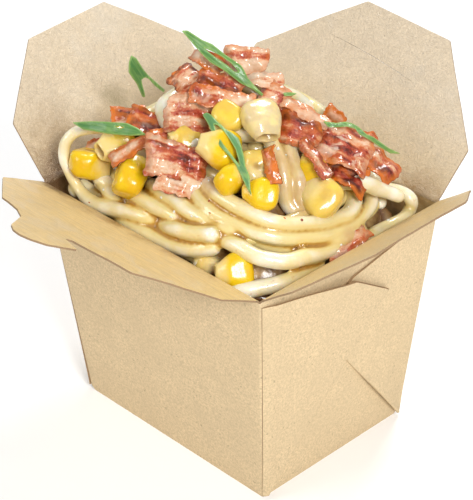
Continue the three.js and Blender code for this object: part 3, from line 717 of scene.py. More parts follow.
@once
def bacon_flesh(settings):
    """Bacon: broad bands of lean and fat along the slice, orange and charred at its edges."""
    shader = Shader("bacon_flesh")
    toppings = settings.toppings
    grain = shader.attribute("grain", "Vector")
    look = shader.attribute("look", "Vector")
    fat, orange, char = (shader.axis(look, name) for name in ("X", "Y", "Z"))
    bands = shader.streaks(grain, (60, 250, 1), detail=2, distortion=0.7)
    blotches = shader.streaks(grain, (260, 420, 1), detail=3)
    granules = shader.streaks(grain, (1300, 1500, 1), detail=2, roughness=0.7)
    level = shader.plus(bands, shader.times(blotches, 0.45))
    level = shader.plus(level, shader.times(granules, 0.25))
    level = shader.plus(level, shader.times(shader.minus(fat, 0.5), 0.45))
    tone = shader.ramp(shader.minus(level, 0.32), (
        (0.33, scaled(toppings.lean, 0.3)),
        (0.42, toppings.lean),
        (0.50, PINK_LEAN),
        (0.57, toppings.fat),
        (0.70, toppings.white_fat),
    ))
    film = shader.remap(shader.streaks(grain, (150, 230, 1), detail=3, distortion=0.5), 0.54, 0.62)
    tone = shader.mix(shader.times(film, shader.remap(fat, 0.3, 0.6, 0.15, 0.6)), tone, CREAM_FILM)
    frying = shader.remap(shader.streaks(grain, (190, 260, 1), detail=3), 0.40, 0.60)
    rim = shader.attribute("rim")
    edge_noise = shader.streaks(grain, (420, 420, 1), detail=2)
    near_edge = shader.remap(shader.minus(rim, shader.times(edge_noise, 0.0014)), -0.0004, 0.0012, 1, 0)
    gold = shader.times(shader.plus(shader.times(frying, 0.75), near_edge), orange)
    tone = shader.mix(shader.times(gold, 0.9), tone, toppings.fried)
    side = shader.attribute("side")
    tone = shader.mix(
        shader.times(side, 0.75), tone, shader.mix(frying, scaled(toppings.lean, 0.7), toppings.fried)
    )
    burnt = shader.times(shader.times(near_edge, char), shader.remap(blotches, 0.42, 0.6))
    tone = shader.mix(burnt, tone, toppings.char)
    blisters = shader.streaks(grain, (800, 950, 1), detail=4, roughness=0.65)
    shader.bump(shader.plus(blisters, granules), 0.55, 0.0005)
    shader.surface.inputs["Subsurface Radius"].default_value = (0.0014, 0.0005, 0.0003)
    return shader.finish(
        tone, Roughness=0.36, Specular_IOR_Level=0.3, Subsurface_Weight=0.06, Subsurface_Scale=1.0,
        Coat_Weight=0.7, Coat_Roughness=0.05,
    )


@once
def onion_leaf(settings):
    """Green onion: satin skin, lighter cut edges and inner side, fine ribs along the blade."""
    shader = Shader("onion_leaf")
    toppings = settings.toppings
    blade = shader.attribute("blade", "Vector")
    ribs = shader.streaks(blade, (70, 1900, 1), detail=3)
    clouds = shader.streaks(blade, (120, 380, 1), detail=2)
    green = shader.mix(shader.attribute("blue"), toppings.leaf, toppings.leaf_blue)
    tone = shader.mix(shader.remap(ribs, 0.32, 0.68), green, shader.mix(0.35, green, toppings.leaf_light))
    tone = shader.mix(shader.remap(clouds, 0.55, 0.75, 0, 0.6), tone, toppings.leaf_light)
    rim = shader.remap(shader.attribute("rim"), 0.0, 0.0005, 0.75, 0)
    tone = shader.mix(rim, tone, toppings.leaf_light)
    shader.bump(ribs, 0.4, 0.0002)
    return shader.finish(
        tone, Roughness=0.38, Subsurface_Weight=0.1, Subsurface_Scale=0.001, Coat_Weight=0.15,
    )


@once
def cream_sauce(settings):
    """Drops of thin cream sauce."""
    shader = Shader("cream_sauce")
    tone = shader.mix(shader.noise(300, detail=2), settings.noodles.cream, THIN_CREAM)
    shader.surface.inputs["Subsurface Radius"].default_value = (0.0020, 0.0014, 0.0008)
    return shader.finish(
        tone, Roughness=0.2, Subsurface_Weight=0.4, Subsurface_Scale=1.0,
        Coat_Weight=0.8, Coat_Roughness=0.06,
    )


@once
def fried_crumb(settings):
    """Fine crumbs of bacon."""
    shader = Shader("fried_crumb")
    toppings = settings.toppings
    mottled = shader.remap(shader.noise(500, detail=1), 0.4, 0.6)
    tone = shader.mix(mottled, toppings.fried, scaled(toppings.lean, 0.8))
    return shader.finish(tone, Roughness=0.4, Coat_Weight=0.5, Coat_Roughness=0.15)


@once
def pale_floor(settings):
    """The floor of the stage."""
    shader = Shader("pale_floor")
    base = settings.stage.floor
    tone = shader.mix(shader.noise(3, detail=2), scaled(base, 0.985), base)
    return shader.finish(
        tone, Roughness=0.8, Specular_IOR_Level=0.2,
        Emission_Color=(1, 1, 1, 1), Emission_Strength=0.1,
    )


# ------------------------------------------------------------------ mesh helpers
def new_piece(name, points, faces, materials, sharp=None):
    """A mesh object at the origin, with its place in its mesh."""
    mesh = bpy.data.meshes.new(name)
    mesh.from_pydata([tuple(point) for point in points], [], faces)
    for material in materials:
        mesh.materials.append(material)
    mesh.shade_smooth()
    if sharp is not None:
        mesh.set_sharp_from_angle(angle=math.radians(sharp))
    return placed_piece(name, mesh)


def placed_piece(name, mesh):
    """An object of the scene that holds a mesh."""
    piece = bpy.data.objects.new(name, mesh)
    bpy.context.scene.collection.objects.link(piece)
    return piece


def give(mesh, name, values):
    """Stores one number, or one vector, at each point of a mesh."""
    if hasattr(values[0], "__len__"):
        layer = mesh.attributes.new(name, "FLOAT_VECTOR", "POINT")
        layer.data.foreach_set("vector", [part for value in values for part in value])
    else:
        layer = mesh.attributes.new(name, "FLOAT", "POINT")
        layer.data.foreach_set("value", values)


def grid_faces(rows, columns, wrap_columns=False):
    """Quads over a grid of points stored row by row."""
    faces = []
    for first in range(0, (rows - 1) * columns, columns):
        above = first + columns
        for column in range(columns if wrap_columns else columns - 1):
            following = (column + 1) % columns
            faces.append((first + column, first + following, above + following, above + column))
    return faces


def sheet_solid(grid, thickness):
    """A closed solid from a grid of points on a sheet's middle. Returns points and faces:
    front faces first, then back, then the rim."""
    rows, columns = len(grid), len(grid[0])
    front, back = [], []
    for row in range(rows):
        for column in range(columns):
            above, below = grid[min(row + 1, rows - 1)][column], grid[max(row - 1, 0)][column]
            right, left = grid[row][min(column + 1, columns - 1)], grid[row][max(column - 1, 0)]
            normal = (right - left).cross(above - below).normalized()
            front.append(grid[row][column] + normal * thickness / 2)
            back.append(grid[row][column] - normal * thickness / 2)
    count = rows * columns
    faces = grid_faces(rows, columns)
    flipped = [tuple(count + index for index in reversed(face)) for face in faces]
    border = (
        list(range(columns))
        + [row * columns + columns - 1 for row in range(1, rows)]
        + [(rows - 1) * columns + column for column in range(columns - 2, -1, -1)]
        + [row * columns for row in range(rows - 2, 0, -1)]
    )
    rim = [
        (border[i], border[i] + count, border[i - 1] + count, border[i - 1])
        for i in range(len(border))
    ]
    return front + back, faces + flipped + rim


def board_piece(name, grid, settings, front, back):
    """A piece of board over a grid, with its two faces and its cut edge."""
    points, faces = sheet_solid(grid, settings.board.thickness)
    piece = new_piece(name, points, faces, [front, back, cut_board(settings)], sharp=40)
    quads = (len(grid) - 1) * (len(grid[0]) - 1)
    for index, polygon in enumerate(piece.data.polygons):
        polygon.material_index = min(index // quads, 2)
    return piece


def rounded_outline(points, radius, spacing):
    """Points round a polygon, close together, with its corners rounded."""
    path = []
    count = len(points)
    for index in range(count):
        before, here, after = (Vector(points[(index + k) % count]) for k in (-1, 0, 1))
        reach_in = min(radius, (here - before).length * 0.4)
        reach_out = min(radius, (after - here).length * 0.4)
        first = here + (before - here).normalized() * reach_in
        last = here + (after - here).normalized() * reach_out
        for step in range(4):
            t = step / 3
            path.append(first.lerp(here, t).lerp(here.lerp(last, t), t))
    dense = []
    for index, point in enumerate(path):
        following = path[(index + 1) % len(path)]
        pieces = max(1, round((following - point).length / spacing))
        dense += [point.lerp(following, step / pieces) for step in range(pieces)]
    return dense


def inside(point, polygon):
    """Whether a point lies in a polygon."""
    x, y = point
    hit = False
    for index in range(len(polygon)):
        (ax, ay), (bx, by) = polygon[index - 1], polygon[index]
        if (ay > y) != (by > y) and x < (bx - ax) * (y - ay) / (by - ay) + ax:
            hit = not hit
    return hit


class Plate:
    """A flat outline with holes, filled with triangles, to be stood up as a thin solid. Its
    spots are in millimetres. ring holds the spots of its edges."""

    def __init__(self, outline, holes, spacing):
        loops = [outline, *holes]
        points, edges = [], []
        for loop in loops:
            first = len(points)
            points += [Vector(point) for point in loop]
            edges += [(first + i, first + (i + 1) % len(loop)) for i in range(len(loop))]
        fixed = KDTree(len(points))
        for index, point in enumerate(points):
            fixed.insert(point.to_3d(), index)
        fixed.balance()
        low = Vector((min(point.x for point in outline), min(point.y for point in outline)))
        high = Vector((max(point.x for point in outline), max(point.y for point in outline)))
        row_height = spacing * 0.87
        for row in range(int((high.y - low.y) / row_height) + 1):
            for column in range(int((high.x - low.x) / spacing) + 1):
                spot = low + Vector(((column + 0.5 * (row % 2)) * spacing, (row + 0.3) * row_height))
                if fixed.find(spot.to_3d())[2] > 0.45 * spacing and inside(spot, outline):
                    points.append(spot)
        flat, _, triangles, _, _, _ = delaunay_2d_cdt(points, edges, [], 1, 1e-5)
        self.spots = flat
        self.triangles = []
        for triangle in triangles:
            middle = sum((flat[i] for i in triangle), Vector((0, 0))) / 3
            if inside(middle, outline) and not any(inside(middle, hole) for hole in holes):
                self.triangles.append(tuple(triangle))
        directed = {(face[i], face[(i + 1) % 3]) for face in self.triangles for i in range(3)}
        self.border = [(a, b) for a, b in directed if (b, a) not in directed]
        self.border.sort()
        self.ring = list({i: i for pair in self.border for i in pair})
        self.edge = fixed

    def rim(self, spot):
        """How far a spot lies from the nearest edge."""
        return self.edge.find(spot.to_3d())[2]

    def edge_normals(self):
        """The direction away from the plate at each spot of its border."""
        normals = {}
        for a, b in self.border:
            run = self.spots[b] - self.spots[a]
            across = Vector((run.y, -run.x)).normalized()
            for index in (a, b):
                normals[index] = normals.get(index, Vector((0, 0))) + across
        return {index: normal.normalized() for index, normal in normals.items()}

    def solid(self, place, ribs=()):
        """Points and faces. place(spot, side) gives the point at a side from 1, the front, to
        -1, the back. ribs are (side, bulge) of the rings between them round the edge."""
        count = len(self.spots)
        points = [place(spot, 1) for spot in self.spots] + [place(spot, -1) for spot in self.spots]
        faces = list(self.triangles)
        faces += [tuple(count + i for i in reversed(face)) for face in self.triangles]
        outward = self.edge_normals() if ribs else {}
        levels = [{i: i for i in self.ring}]
        for side, bulge in ribs:
            ring = {}
            for index in self.ring:
                ring[index] = len(points)
                points.append(place(self.spots[index] + outward[index] * bulge, side))
            levels.append(ring)
        levels.append({i: i + count for i in self.ring})
        for upper, lower in zip(levels, levels[1:]):
            faces += [(upper[b], upper[a], lower[a], lower[b]) for a, b in self.border]
        return points, faces


# ------------------------------------------------------------------ the tray
def half_length(settings, z):
    """Half the length of the leaning walls at a height."""
    return lerp(settings.board.base_length, RIM_LENGTH, z / HEIGHT) / 2


def half_width(settings, z):
    """Half the width of the leaning walls at a height."""
    return lerp(settings.board.base_width, RIM_WIDTH, z / HEIGHT) / 2


def rounded_rectangle(x, y, radius, z, per_side=22, per_corner=5):
    """Points round a rectangle with rounded corners, anticlockwise from above."""
    points = []
    corners = ((x, -y, -90), (x, y, 0), (-x, y, 90), (-x, -y, 180))
    for index, (cx, cy, start) in enumerate(corners):
        centre = Vector((cx - math.copysign(radius, cx), cy - math.copysign(radius, cy), z))
        for step in range(per_corner):
            angle = math.radians(start + 90 * step / (per_corner - 1))
            points.append(centre + radius * Vector((math.cos(angle), math.sin(angle), 0)))
        nx, ny, following = corners[(index + 1) % 4]
        angle = math.radians(following)
        target = Vector((nx - math.copysign(radius, nx), ny - math.copysign(radius, ny), z))
        target += radius * Vector((math.cos(angle), math.sin(angle), 0))
        last = points[-1].copy()
        for step in range(1, per_side):
            points.append(last.lerp(target, step / per_side))
    return points


def tray_walls(settings):
    """Walls and bottom of board, folded from one sheet, its walls barely wavy."""
    board = settings.board.thickness
    radius = settings.board.corner_radius
    top = HEIGHT - WALL_START
    levels = 26
    rings, is_inner = [], []
    for level in range(levels + 1):
        z = top * (level / levels) ** 1.15
        lift = min(z / (0.8 * MM), 1)
        tuck = 0.5 * MM * (1 - math.sqrt(1 - (1 - lift) ** 2))
        ring = rounded_rectangle(half_length(settings, z) - tuck, half_width(settings, z) - tuck, radius, z)
        rings.append(ring)
        is_inner.append(False)
    for level in range(levels, -1, -1):
        z = max(top * (level / levels) ** 1.15, board)
        x = half_length(settings, z) - board
        y = half_width(settings, z) - board
        rings.append(rounded_rectangle(x, y, max(radius - board, 0.3 * MM), z))
        is_inner.append(True)
    for ring in rings:
        for point in ring:
            wave = 0.12 * MM * smooth(0, 8 * MM, point.z) * smooth(top, top - 12 * MM, point.z)
            amount = wave * wander(point.x * 45, point.y * 45, point.z * 30)
            point += Vector((point.x, point.y, 0)).normalized() * amount
    columns = len(rings[0])
    points = [point for ring in rings for point in ring]
    faces = grid_faces(len(rings), columns, wrap_columns=True)
    faces.append(tuple(reversed(range(columns))))
    faces.append(tuple(range((len(rings) - 1) * columns, len(rings) * columns)))
    materials = [bare_board(settings), coated_board(settings), cut_board(settings)]
    piece = new_piece("tray_walls", points, faces, materials, sharp=50)
    for index, polygon in enumerate(piece.data.polygons[:-2]):
        row = index // columns
        polygon.material_index = 0 if row < levels else (2 if row == levels else 1)
    piece.data.polygons[-1].material_index = 1
    give(piece.data, "soaked", [0.8] * len(points))
    return piece


def web_place(settings, along, below, lift, side, mirrored):
    """A point of a narrow wall, from the corner that the web is folded round."""
    wall_height = math.hypot(HEIGHT, half_length(settings, HEIGHT) - half_length(settings, 0))
    z = HEIGHT * (1 - below * MM / wall_height)
    y = along * MM - RIM_WIDTH / 2
    outward = Vector((HEIGHT, 0, half_length(settings, 0) - half_length(settings, HEIGHT))).normalized()
    point = Vector((half_length(settings, z), -y if mirrored else y, z)) + outward * lift * MM
    return point if side > 0 else Vector((-point.x, -point.y, point.z))


def web_grid(settings, side, mirrored):
    """One web: an outer layer folded back under itself along its slanting edge."""
    rows, columns = 26, 22
    start, shoulder, tip = WEB_TOP
    web = UPPER_WEB
    if mirrored:
        tip = LOWER_WEB_TIP
        web = LOWER_WEB
    bend = 0.72
    fold_radius = 0.34
    grid = []
    for row in range(rows):
        v = 0.02 + 0.98 * row / (rows - 1)
        line = []
        for column in range(columns):
            u = column / (columns - 1)
            top = (
                [lerp(start[i], shoulder[i], u / bend) for i in range(2)]
                if u < bend
                else [lerp(shoulder[i], tip[i], (u - bend) / (1 - bend)) for i in range(2)]
            )
            chord = [lerp(start[i], tip[i], u) for i in range(2)]
            left = [lerp(WEB_FOOT[i], start[i], v) for i in range(2)]
            right = [lerp(WEB_FOOT[i], tip[i], v) for i in range(2)]
            place = [lerp(left[i], right[i], u) + v ** 5 * (top[i] - chord[i]) for i in range(2)]
            spring = web["spring"] * math.exp(-((u - bend) / 0.33) ** 2) * v ** 5
            gape = web["gape"] * (smooth(0.62, 0.3, v) * smooth(-0.08, 0.14, v) if mirrored else 1)
            lift = web["lift"] * smooth(0, 0.12, u) + spring + gape * u ** 2
            line.append((place, lift))
        turned_back = []
        (edge_along, edge_below), edge_lift = line[-1]
        for step in range(1, 5):
            angle = math.pi * step / 5
            out = fold_radius * math.sin(angle)
            down = fold_radius * (1 - math.cos(angle))
            turned_back.append(((edge_along + out, edge_below + out * 0.4), edge_lift - down))
        for column in range(columns - 1, columns - 9, -1):
            (along, below), lift = line[column]
            turned_back.append(((along, below), lift - 2 * fold_radius))
        grid.append([
            web_place(settings, along, below, lift, side, mirrored)
            for (along, below), lift in line + turned_back
        ])
    if mirrored:
        grid = [list(reversed(line)) for line in grid]
    return [list(reversed(line)) for line in grid]


# ------------------------------------------------------------------ flaps
def hinge_frame(name):
    """A flap's corner at its hinge, and its axes: along the hinge, up the flap, off its face."""
    flap = FLAPS[name]
    out = Vector((*flap["out"], 0))
    along = Vector((abs(out.y), abs(out.x), 0))
    angle = math.radians(flap["angle"])
    up = out * math.cos(angle) + Vector((0, 0, math.sin(angle)))
    length = RIM_LENGTH if out.y else RIM_WIDTH
    corner = Vector((out.x * RIM_LENGTH / 2, out.y * RIM_WIDTH / 2, HEIGHT)) - along * length / 2
    normal = along.cross(up)
    if normal.z < 0:
        normal = -normal
    return corner - out * CREASE_INSET, along, up, normal, length


def flap_outline(name, length):
    """A flap's corners, in millimetres."""
    flap = FLAPS[name]
    full = length / MM
    side = CREASE_SIDE / MM
    start = CREASE_START / MM
    points = [(side, start), (full - side, start), (full - side, flap["rise"][1]), flap["outer"][1]]
    if name == "flap_tongue":
        points += TONGUE
    return points + [flap["outer"][0], (side, flap["rise"][0])]


def slit_outline():
    """The slit that takes the tongue: a thin lens on a shallow bow."""
    start, end = Vector(SLIT["start"]), Vector(SLIT["end"])
    across = Vector((start.y - end.y, end.x - start.x)).normalized()
    steps = 18
    upper, lower = [], []
    for step in range(steps + 1):
        t = step / steps
        belly = 4 * t * (1 - t)
        middle = start.lerp(end, t) + across * SLIT["bow"] * belly
        upper.append(middle + across * SLIT["width"] * 0.5 * belly ** 0.5)
        lower.append(middle - across * SLIT["width"] * 0.5 * belly ** 0.5)
    return upper[:-1] + list(reversed(lower))[:-1]


def flap_warp(name, x, y, length):
    """How far a flap's face stands off its plane, in millimetres."""
    seed = sum(map(ord, name)) * 0.37
    off_hinge = smooth(1, 22, y)
    bow = 0.5 * math.sin(math.pi * x * MM / length)
    curl = -0.0022 * max(y - 40, 0) ** 2
    waves = bow + 0.45 * wander(x * 0.045, y * 0.06, seed) + 0.12 * wander(x * 0.16, y * 0.2, seed)
    return off_hinge * waves + curl


def flap_piece(name, settings):
    """A flap of board: both faces over one triangulated outline, and its cut edge."""
    origin, along, up, normal, length = hinge_frame(name)
    outline = rounded_outline(flap_outline(name, length), 0.6, 2.0)
    plate = Plate(outline, [slit_outline()] if name == "flap_slot" else [], 3.0)
    half = settings.board.thickness / 2

    def place(spot, side):
        rise = flap_warp(name, spot.x, spot.y, length) * MM
        return origin + along * spot.x * MM + up * spot.y * MM + normal * (rise + side * half)

    points, faces = plate.solid(place)
    if along.cross(up).dot(normal) < 0:
        faces = [tuple(reversed(face)) for face in faces]
    materials = [coated_board(settings), bare_board(settings), cut_board(settings)]
    piece = new_piece(name + "_board", points, faces, materials, sharp=40)
    count = len(plate.triangles)
    for index, polygon in enumerate(piece.data.polygons):
        polygon.material_index = min(index // count, 2)
    give(piece.data, "soaked", [FLAPS[name]["soaked"]] * len(points))
    return piece


def crease_piece(name, settings):
    """The bent strip of board between a wall's top and its flap."""
    origin, along, up, normal, length = hinge_frame(name)
    out = Vector((*FLAPS[name]["out"], 0))
    lean_run = (
        half_width(settings, HEIGHT) - half_width(settings, 0)
        if out.y
        else half_length(settings, HEIGHT) - half_length(settings, 0)
    )
    lean = (out * lean_run + Vector((0, 0, HEIGHT))).normalized()
    below = origin - lean * WALL_START
    above = origin + up * CREASE_START
    stations = 7
    across = 40
    grid = []
    for station in range(stations):
        t = station / (stations - 1)
        point = below.lerp(origin, t).lerp(origin.lerp(above, t), t)
        grid.append([
            point + along * lerp(CREASE_SIDE, length - CREASE_SIDE, step / (across - 1))
            for step in range(across)
        ])
    if along.cross(up).dot(normal) < 0:
        grid = [list(reversed(line)) for line in grid]
    piece = board_piece("crease_" + name[5:], grid, settings, coated_board(settings), bare_board(settings))
    give(piece.data, "soaked", [FLAPS[name]["soaked"]] * len(piece.data.vertices))
    return piece, below, above


# ------------------------------------------------------------------ noodles
def heap_point(degrees, reach, lift):
    """A point on the heap, at an angle round it and a reach from its peak to its foot."""
    angle = math.radians(degrees)
    c, s = math.cos(angle), math.sin(angle)
    square = squared(c, s, HEAP["power"])
    dome = max(0.0, 1 - reach * reach) ** HEAP["roundness"]
    return above_rim((
        (1 - reach) * HEAP["peak_at"][0] + HEAP["a"] * reach * square * c,
        (1 - reach) * HEAP["peak_at"][1] + HEAP["b"] * reach * square * s,
        lerp(HEAP["foot"], HEAP["peak"], dome) + lift,
    ))


def heap_depth(point):
    """How far a point lies below the heap's surface, straight down."""
    power = HEAP["power"]
    reach = 0.5
    for _ in range(5):
        x = abs(point.x / MM - (1 - reach) * HEAP["peak_at"][0]) / HEAP["a"]
        y = abs(point.y / MM - (1 - reach) * HEAP["peak_at"][1]) / HEAP["b"]
        reach = min((x ** power + y ** power) ** (1 / power), 1)
    surface = lerp(HEAP["foot"], HEAP["peak"], (1 - reach * reach) ** HEAP["roundness"])
    return HEIGHT + surface * MM - point.z


def wreath_path(start, end, reach, drift, lift, rng):
    """A noodle's path from one angle round the heap to another."""
    stops = 8
    return [
        heap_point(
            lerp(start, end, i / (stops - 1)),
            reach + drift * i / (stops - 1) + 0.04 * (rng.random() - 0.5),
            lift,
        )
        for i in range(stops)
    ]


def lower_paths(settings):
    """Noodles that show between those on top, and round the walls below the heap's foot."""
    rng = random.Random(settings.noodles.seed)
    paths = []
    count = settings.noodles.under_count
    for index in range(count):
        reach = 0.12 + 0.84 * ((index + 0.5) / count) ** 0.75
        start = rng.uniform(0, 360)
        span = rng.uniform(110, 210)
        drift = rng.uniform(-0.09, 0.09)
        paths.append(wreath_path(start, start + span, reach, drift, rng.uniform(-7.5, -4.5), rng))
    by_walls, spacing = 7, 51
    for index in range(by_walls):
        start = index * spacing + rng.uniform(-15, 15)
        lift = rng.uniform(-12, -7)
        paths.append(wreath_path(start, start + rng.uniform(60, 100), 0.98, 0.0, lift, rng))
    return paths


def curve_of(name, paths):
    """A curve object with one smooth spline for each path."""
    data = bpy.data.curves.new(name, "CURVE")
    data.dimensions = "3D"
    data.resolution_u = 12
    for path in paths:
        spline = data.splines.new("BEZIER")
        spline.bezier_points.add(len(path) - 1)
        for knot, place in zip(spline.bezier_points, path):
            knot.co = place
            knot.radius = min([1.0] + [
                thin for spot, reach, thin in THIN_LOOPS if (place - above_rim(spot)).length < reach * MM
            ])
            knot.handle_left_type = "AUTO"
            knot.handle_right_type = "AUTO"
    return placed_piece(name, data)


class Nodes:
    """Builds one tree of geometry nodes."""

    def __init__(self, name, inputs):
        self.tree = bpy.data.node_groups.new(name, "GeometryNodeTree")
        for label, kind in inputs:
            self.tree.interface.new_socket(label, in_out="INPUT", socket_type="NodeSocket" + kind)
        self.tree.interface.new_socket("Result", in_out="OUTPUT", socket_type="NodeSocketGeometry")
        self.given = self.add("NodeGroupInput").outputs

    def add(self, kind, **settings):
        node = self.tree.nodes.new(kind)
        for key, value in settings.items():
            setattr(node, key, value)
        return node

    def feed(self, socket, value):
        if isinstance(value, bpy.types.NodeSocket):
            self.tree.links.new(value, socket)
        else:
            socket.default_value = value

    def math(self, operation, a, b):
        node = self.add("ShaderNodeMath", operation=operation)
        self.feed(node.inputs[0], a)
        self.feed(node.inputs[1], b)
        return node.outputs[0]

    def vector(self, operation, a, b):
        """Vector maths. b is a vector, or the number that SCALE takes."""
        node = self.add("ShaderNodeVectorMath", operation=operation)
        self.feed(node.inputs[0], a)
        self.feed(node.inputs["Scale" if operation == "SCALE" else 1], b)
        return node.outputs["Value" if operation == "DOT_PRODUCT" else "Vector"]

    def end(self, geometry):
        """Realizes, softens and dresses the geometry, and ends the tree."""
        real = self.add("GeometryNodeRealizeInstances")
        soft = self.add("GeometryNodeSetShadeSmooth")
        skin = self.add("GeometryNodeSetMaterial")
        self.feed(real.inputs["Geometry"], geometry)
        self.feed(soft.inputs["Geometry"], real.outputs["Geometry"])
        self.feed(skin.inputs["Geometry"], soft.outputs["Geometry"])
        self.feed(skin.inputs["Material"], self.given["Skin"])
        self.feed(self.add("NodeGroupOutput").inputs["Result"], skin.outputs["Geometry"])
        return self.tree


def apply_tree(carrier, tree, **values):
    """Adds the tree to an object as a modifier, its named inputs set."""
    grower = carrier.modifiers.new(tree.name, "NODES")
    grower.node_group = tree
    for item in tree.interface.items_tree:
        if item.item_type == "SOCKET" and item.in_out == "INPUT" and item.name in values:
            grower[item.identifier] = values[item.name]


def finished_mesh(carrier, name):
    """The plain mesh that an object's modifiers make. The object is removed."""
    graph = bpy.context.evaluated_depsgraph_get()
    graph.update()
    mesh = bpy.data.meshes.new_from_object(carrier.evaluated_get(graph), depsgraph=graph)
    mesh.name = name
    carrier.modifiers.clear()
    bpy.data.objects.remove(carrier)
    return mesh


def noodle_tree():
    """Round-ended noodles of a slightly wavering thickness along every curve."""
    nodes = Nodes("noodles_along_curves", (
        ("Curves", "Geometry"), ("Radius", "Float"), ("Step", "Float"), ("Waver", "Float"),
        ("Sides", "Int"), ("Skin", "Material"),
    ))
    given = nodes.given
    resample = nodes.add("GeometryNodeResampleCurve", mode="LENGTH")
    nodes.feed(resample.inputs["Curve"], given["Curves"])
    nodes.feed(resample.inputs["Length"], given["Step"])
    drift = nodes.add("ShaderNodeTexNoise")
    drift.inputs["Scale"].default_value = 55.0
    drift.inputs["Detail"].default_value = 1.0
    centred = nodes.vector("SUBTRACT", drift.outputs["Color"], (0.5, 0.5, 0.5))
    strayed = nodes.add("GeometryNodeSetPosition")
    nodes.feed(strayed.inputs["Geometry"], resample.outputs["Curve"])
    reach = nodes.math("MULTIPLY", given["Waver"], 4.0)
    nodes.feed(strayed.inputs["Offset"], nodes.vector("SCALE", centred, reach))
    along = nodes.add("GeometryNodeSplineParameter").outputs["Length"]
    total = nodes.add("GeometryNodeSplineLength").outputs["Length"]
    to_end = nodes.math("MINIMUM", along, nodes.math("SUBTRACT", total, along))
    short = nodes.math("SUBTRACT", 1.0, nodes.math("DIVIDE", to_end, given["Radius"]))
    short = nodes.math("MAXIMUM", short, 0.0)
    round_end = nodes.math("POWER", nodes.math("SUBTRACT", 1.0, nodes.math("MULTIPLY", short, short)), 0.5)
    thick = nodes.add("ShaderNodeTexNoise")
    thick.inputs["Scale"].default_value = 60.0
    thick.inputs["Detail"].default_value = 1.0
    unevenness = nodes.math("ADD", 0.93, nodes.math("MULTIPLY", thick.outputs["Fac"], 0.14))
    unevenness = nodes.math("MULTIPLY", unevenness, nodes.add("GeometryNodeInputRadius").outputs["Radius"])
    width = nodes.math("MAXIMUM", nodes.math("MULTIPLY", round_end, unevenness), 0.12)
    profile = nodes.add("GeometryNodeCurvePrimitiveCircle", mode="RADIUS")
    nodes.feed(profile.inputs["Resolution"], given["Sides"])
    nodes.feed(profile.inputs["Radius"], given["Radius"])
    tube = nodes.add("GeometryNodeCurveToMesh")
    tube.inputs["Fill Caps"].default_value = True
    nodes.feed(tube.inputs["Curve"], strayed.outputs["Geometry"])
    nodes.feed(tube.inputs["Profile Curve"], profile.outputs["Curve"])
    nodes.feed(tube.inputs["Scale"], width)
    return nodes.end(tube.outputs["Mesh"])


def sauce_tree():
    """Draws a swollen surface back in, so that sauce stays in its narrow gaps, and stores how
    deep each point lies in a groove, in millimetres."""
    nodes = Nodes("sauce_between_noodles", (("Noodles", "Geometry"), ("Sink", "Float"), ("Skin", "Material")))
    given = nodes.given
    normal = nodes.add("GeometryNodeInputNormal").outputs["Normal"]
    drawn = nodes.add("GeometryNodeSetPosition")
    nodes.feed(drawn.inputs["Geometry"], given["Noodles"])
    inwards = nodes.math("MULTIPLY", given["Sink"], -1.0)
    nodes.feed(drawn.inputs["Offset"], nodes.vector("SCALE", normal, inwards))
    place = nodes.add("GeometryNodeInputPosition").outputs["Position"]
    blur = nodes.add("GeometryNodeBlurAttribute", data_type="FLOAT_VECTOR")
    nodes.feed(blur.inputs["Value"], place)
    blur.inputs["Iterations"].default_value = 30
    rise = nodes.vector("DOT_PRODUCT", nodes.vector("SUBTRACT", blur.outputs["Value"], place), normal)
    store = nodes.add("GeometryNodeStoreNamedAttribute", data_type="FLOAT", domain="POINT")
    store.inputs["Name"].default_value = "groove"
    nodes.feed(store.inputs["Geometry"], drawn.outputs["Geometry"])
    nodes.feed(store.inputs["Value"], nodes.math("DIVIDE", rise, MM))
    return nodes.end(store.outputs["Geometry"])


def scatter_tree():
    """Small lumps over the upper side of a surface."""
    nodes = Nodes("lumps_over_surface", (
        ("Surface", "Geometry"), ("Density", "Float"), ("Size", "Float"), ("Height", "Float"),
        ("Detail", "Int"), ("Seed", "Int"), ("Skin", "Material"),
    ))
    given = nodes.given
    normal = nodes.add("GeometryNodeInputNormal").outputs["Normal"]
    facing = nodes.math("GREATER_THAN", nodes.vector("DOT_PRODUCT", normal, (0.3, -0.3, 0.9)), 0.35)
    spread = nodes.add("GeometryNodeDistributePointsOnFaces", distribute_method="RANDOM")
    nodes.feed(spread.inputs["Mesh"], given["Surface"])
    nodes.feed(spread.inputs["Selection"], facing)
    nodes.feed(spread.inputs["Density"], given["Density"])
    nodes.feed(spread.inputs["Seed"], given["Seed"])
    lump = nodes.add("GeometryNodeMeshIcoSphere")
    lump.inputs["Radius"].default_value = 1.0
    nodes.feed(lump.inputs["Subdivisions"], given["Detail"])
    share = nodes.add("FunctionNodeRandomValue", data_type="FLOAT_VECTOR")
    share.inputs[0].default_value = (0.35, 0.25, 0.6)
    share.inputs[1].default_value = (1.0, 0.8, 1.0)
    nodes.feed(share.inputs["Seed"], given["Seed"])
    flat = nodes.add("ShaderNodeCombineXYZ")
    nodes.feed(flat.inputs["X"], given["Size"])
    nodes.feed(flat.inputs["Y"], given["Size"])
    nodes.feed(flat.inputs["Z"], given["Height"])
    sized = nodes.vector("MULTIPLY", share.outputs[0], flat.outputs[0])
    placed = nodes.add("GeometryNodeInstanceOnPoints")
    nodes.feed(placed.inputs["Points"], spread.outputs["Points"])
    nodes.feed(placed.inputs["Instance"], lump.outputs["Mesh"])
    nodes.feed(placed.inputs["Rotation"], spread.outputs["Rotation"])
    nodes.feed(placed.inputs["Scale"], sized)
    return nodes.end(placed.outputs["Instances"])


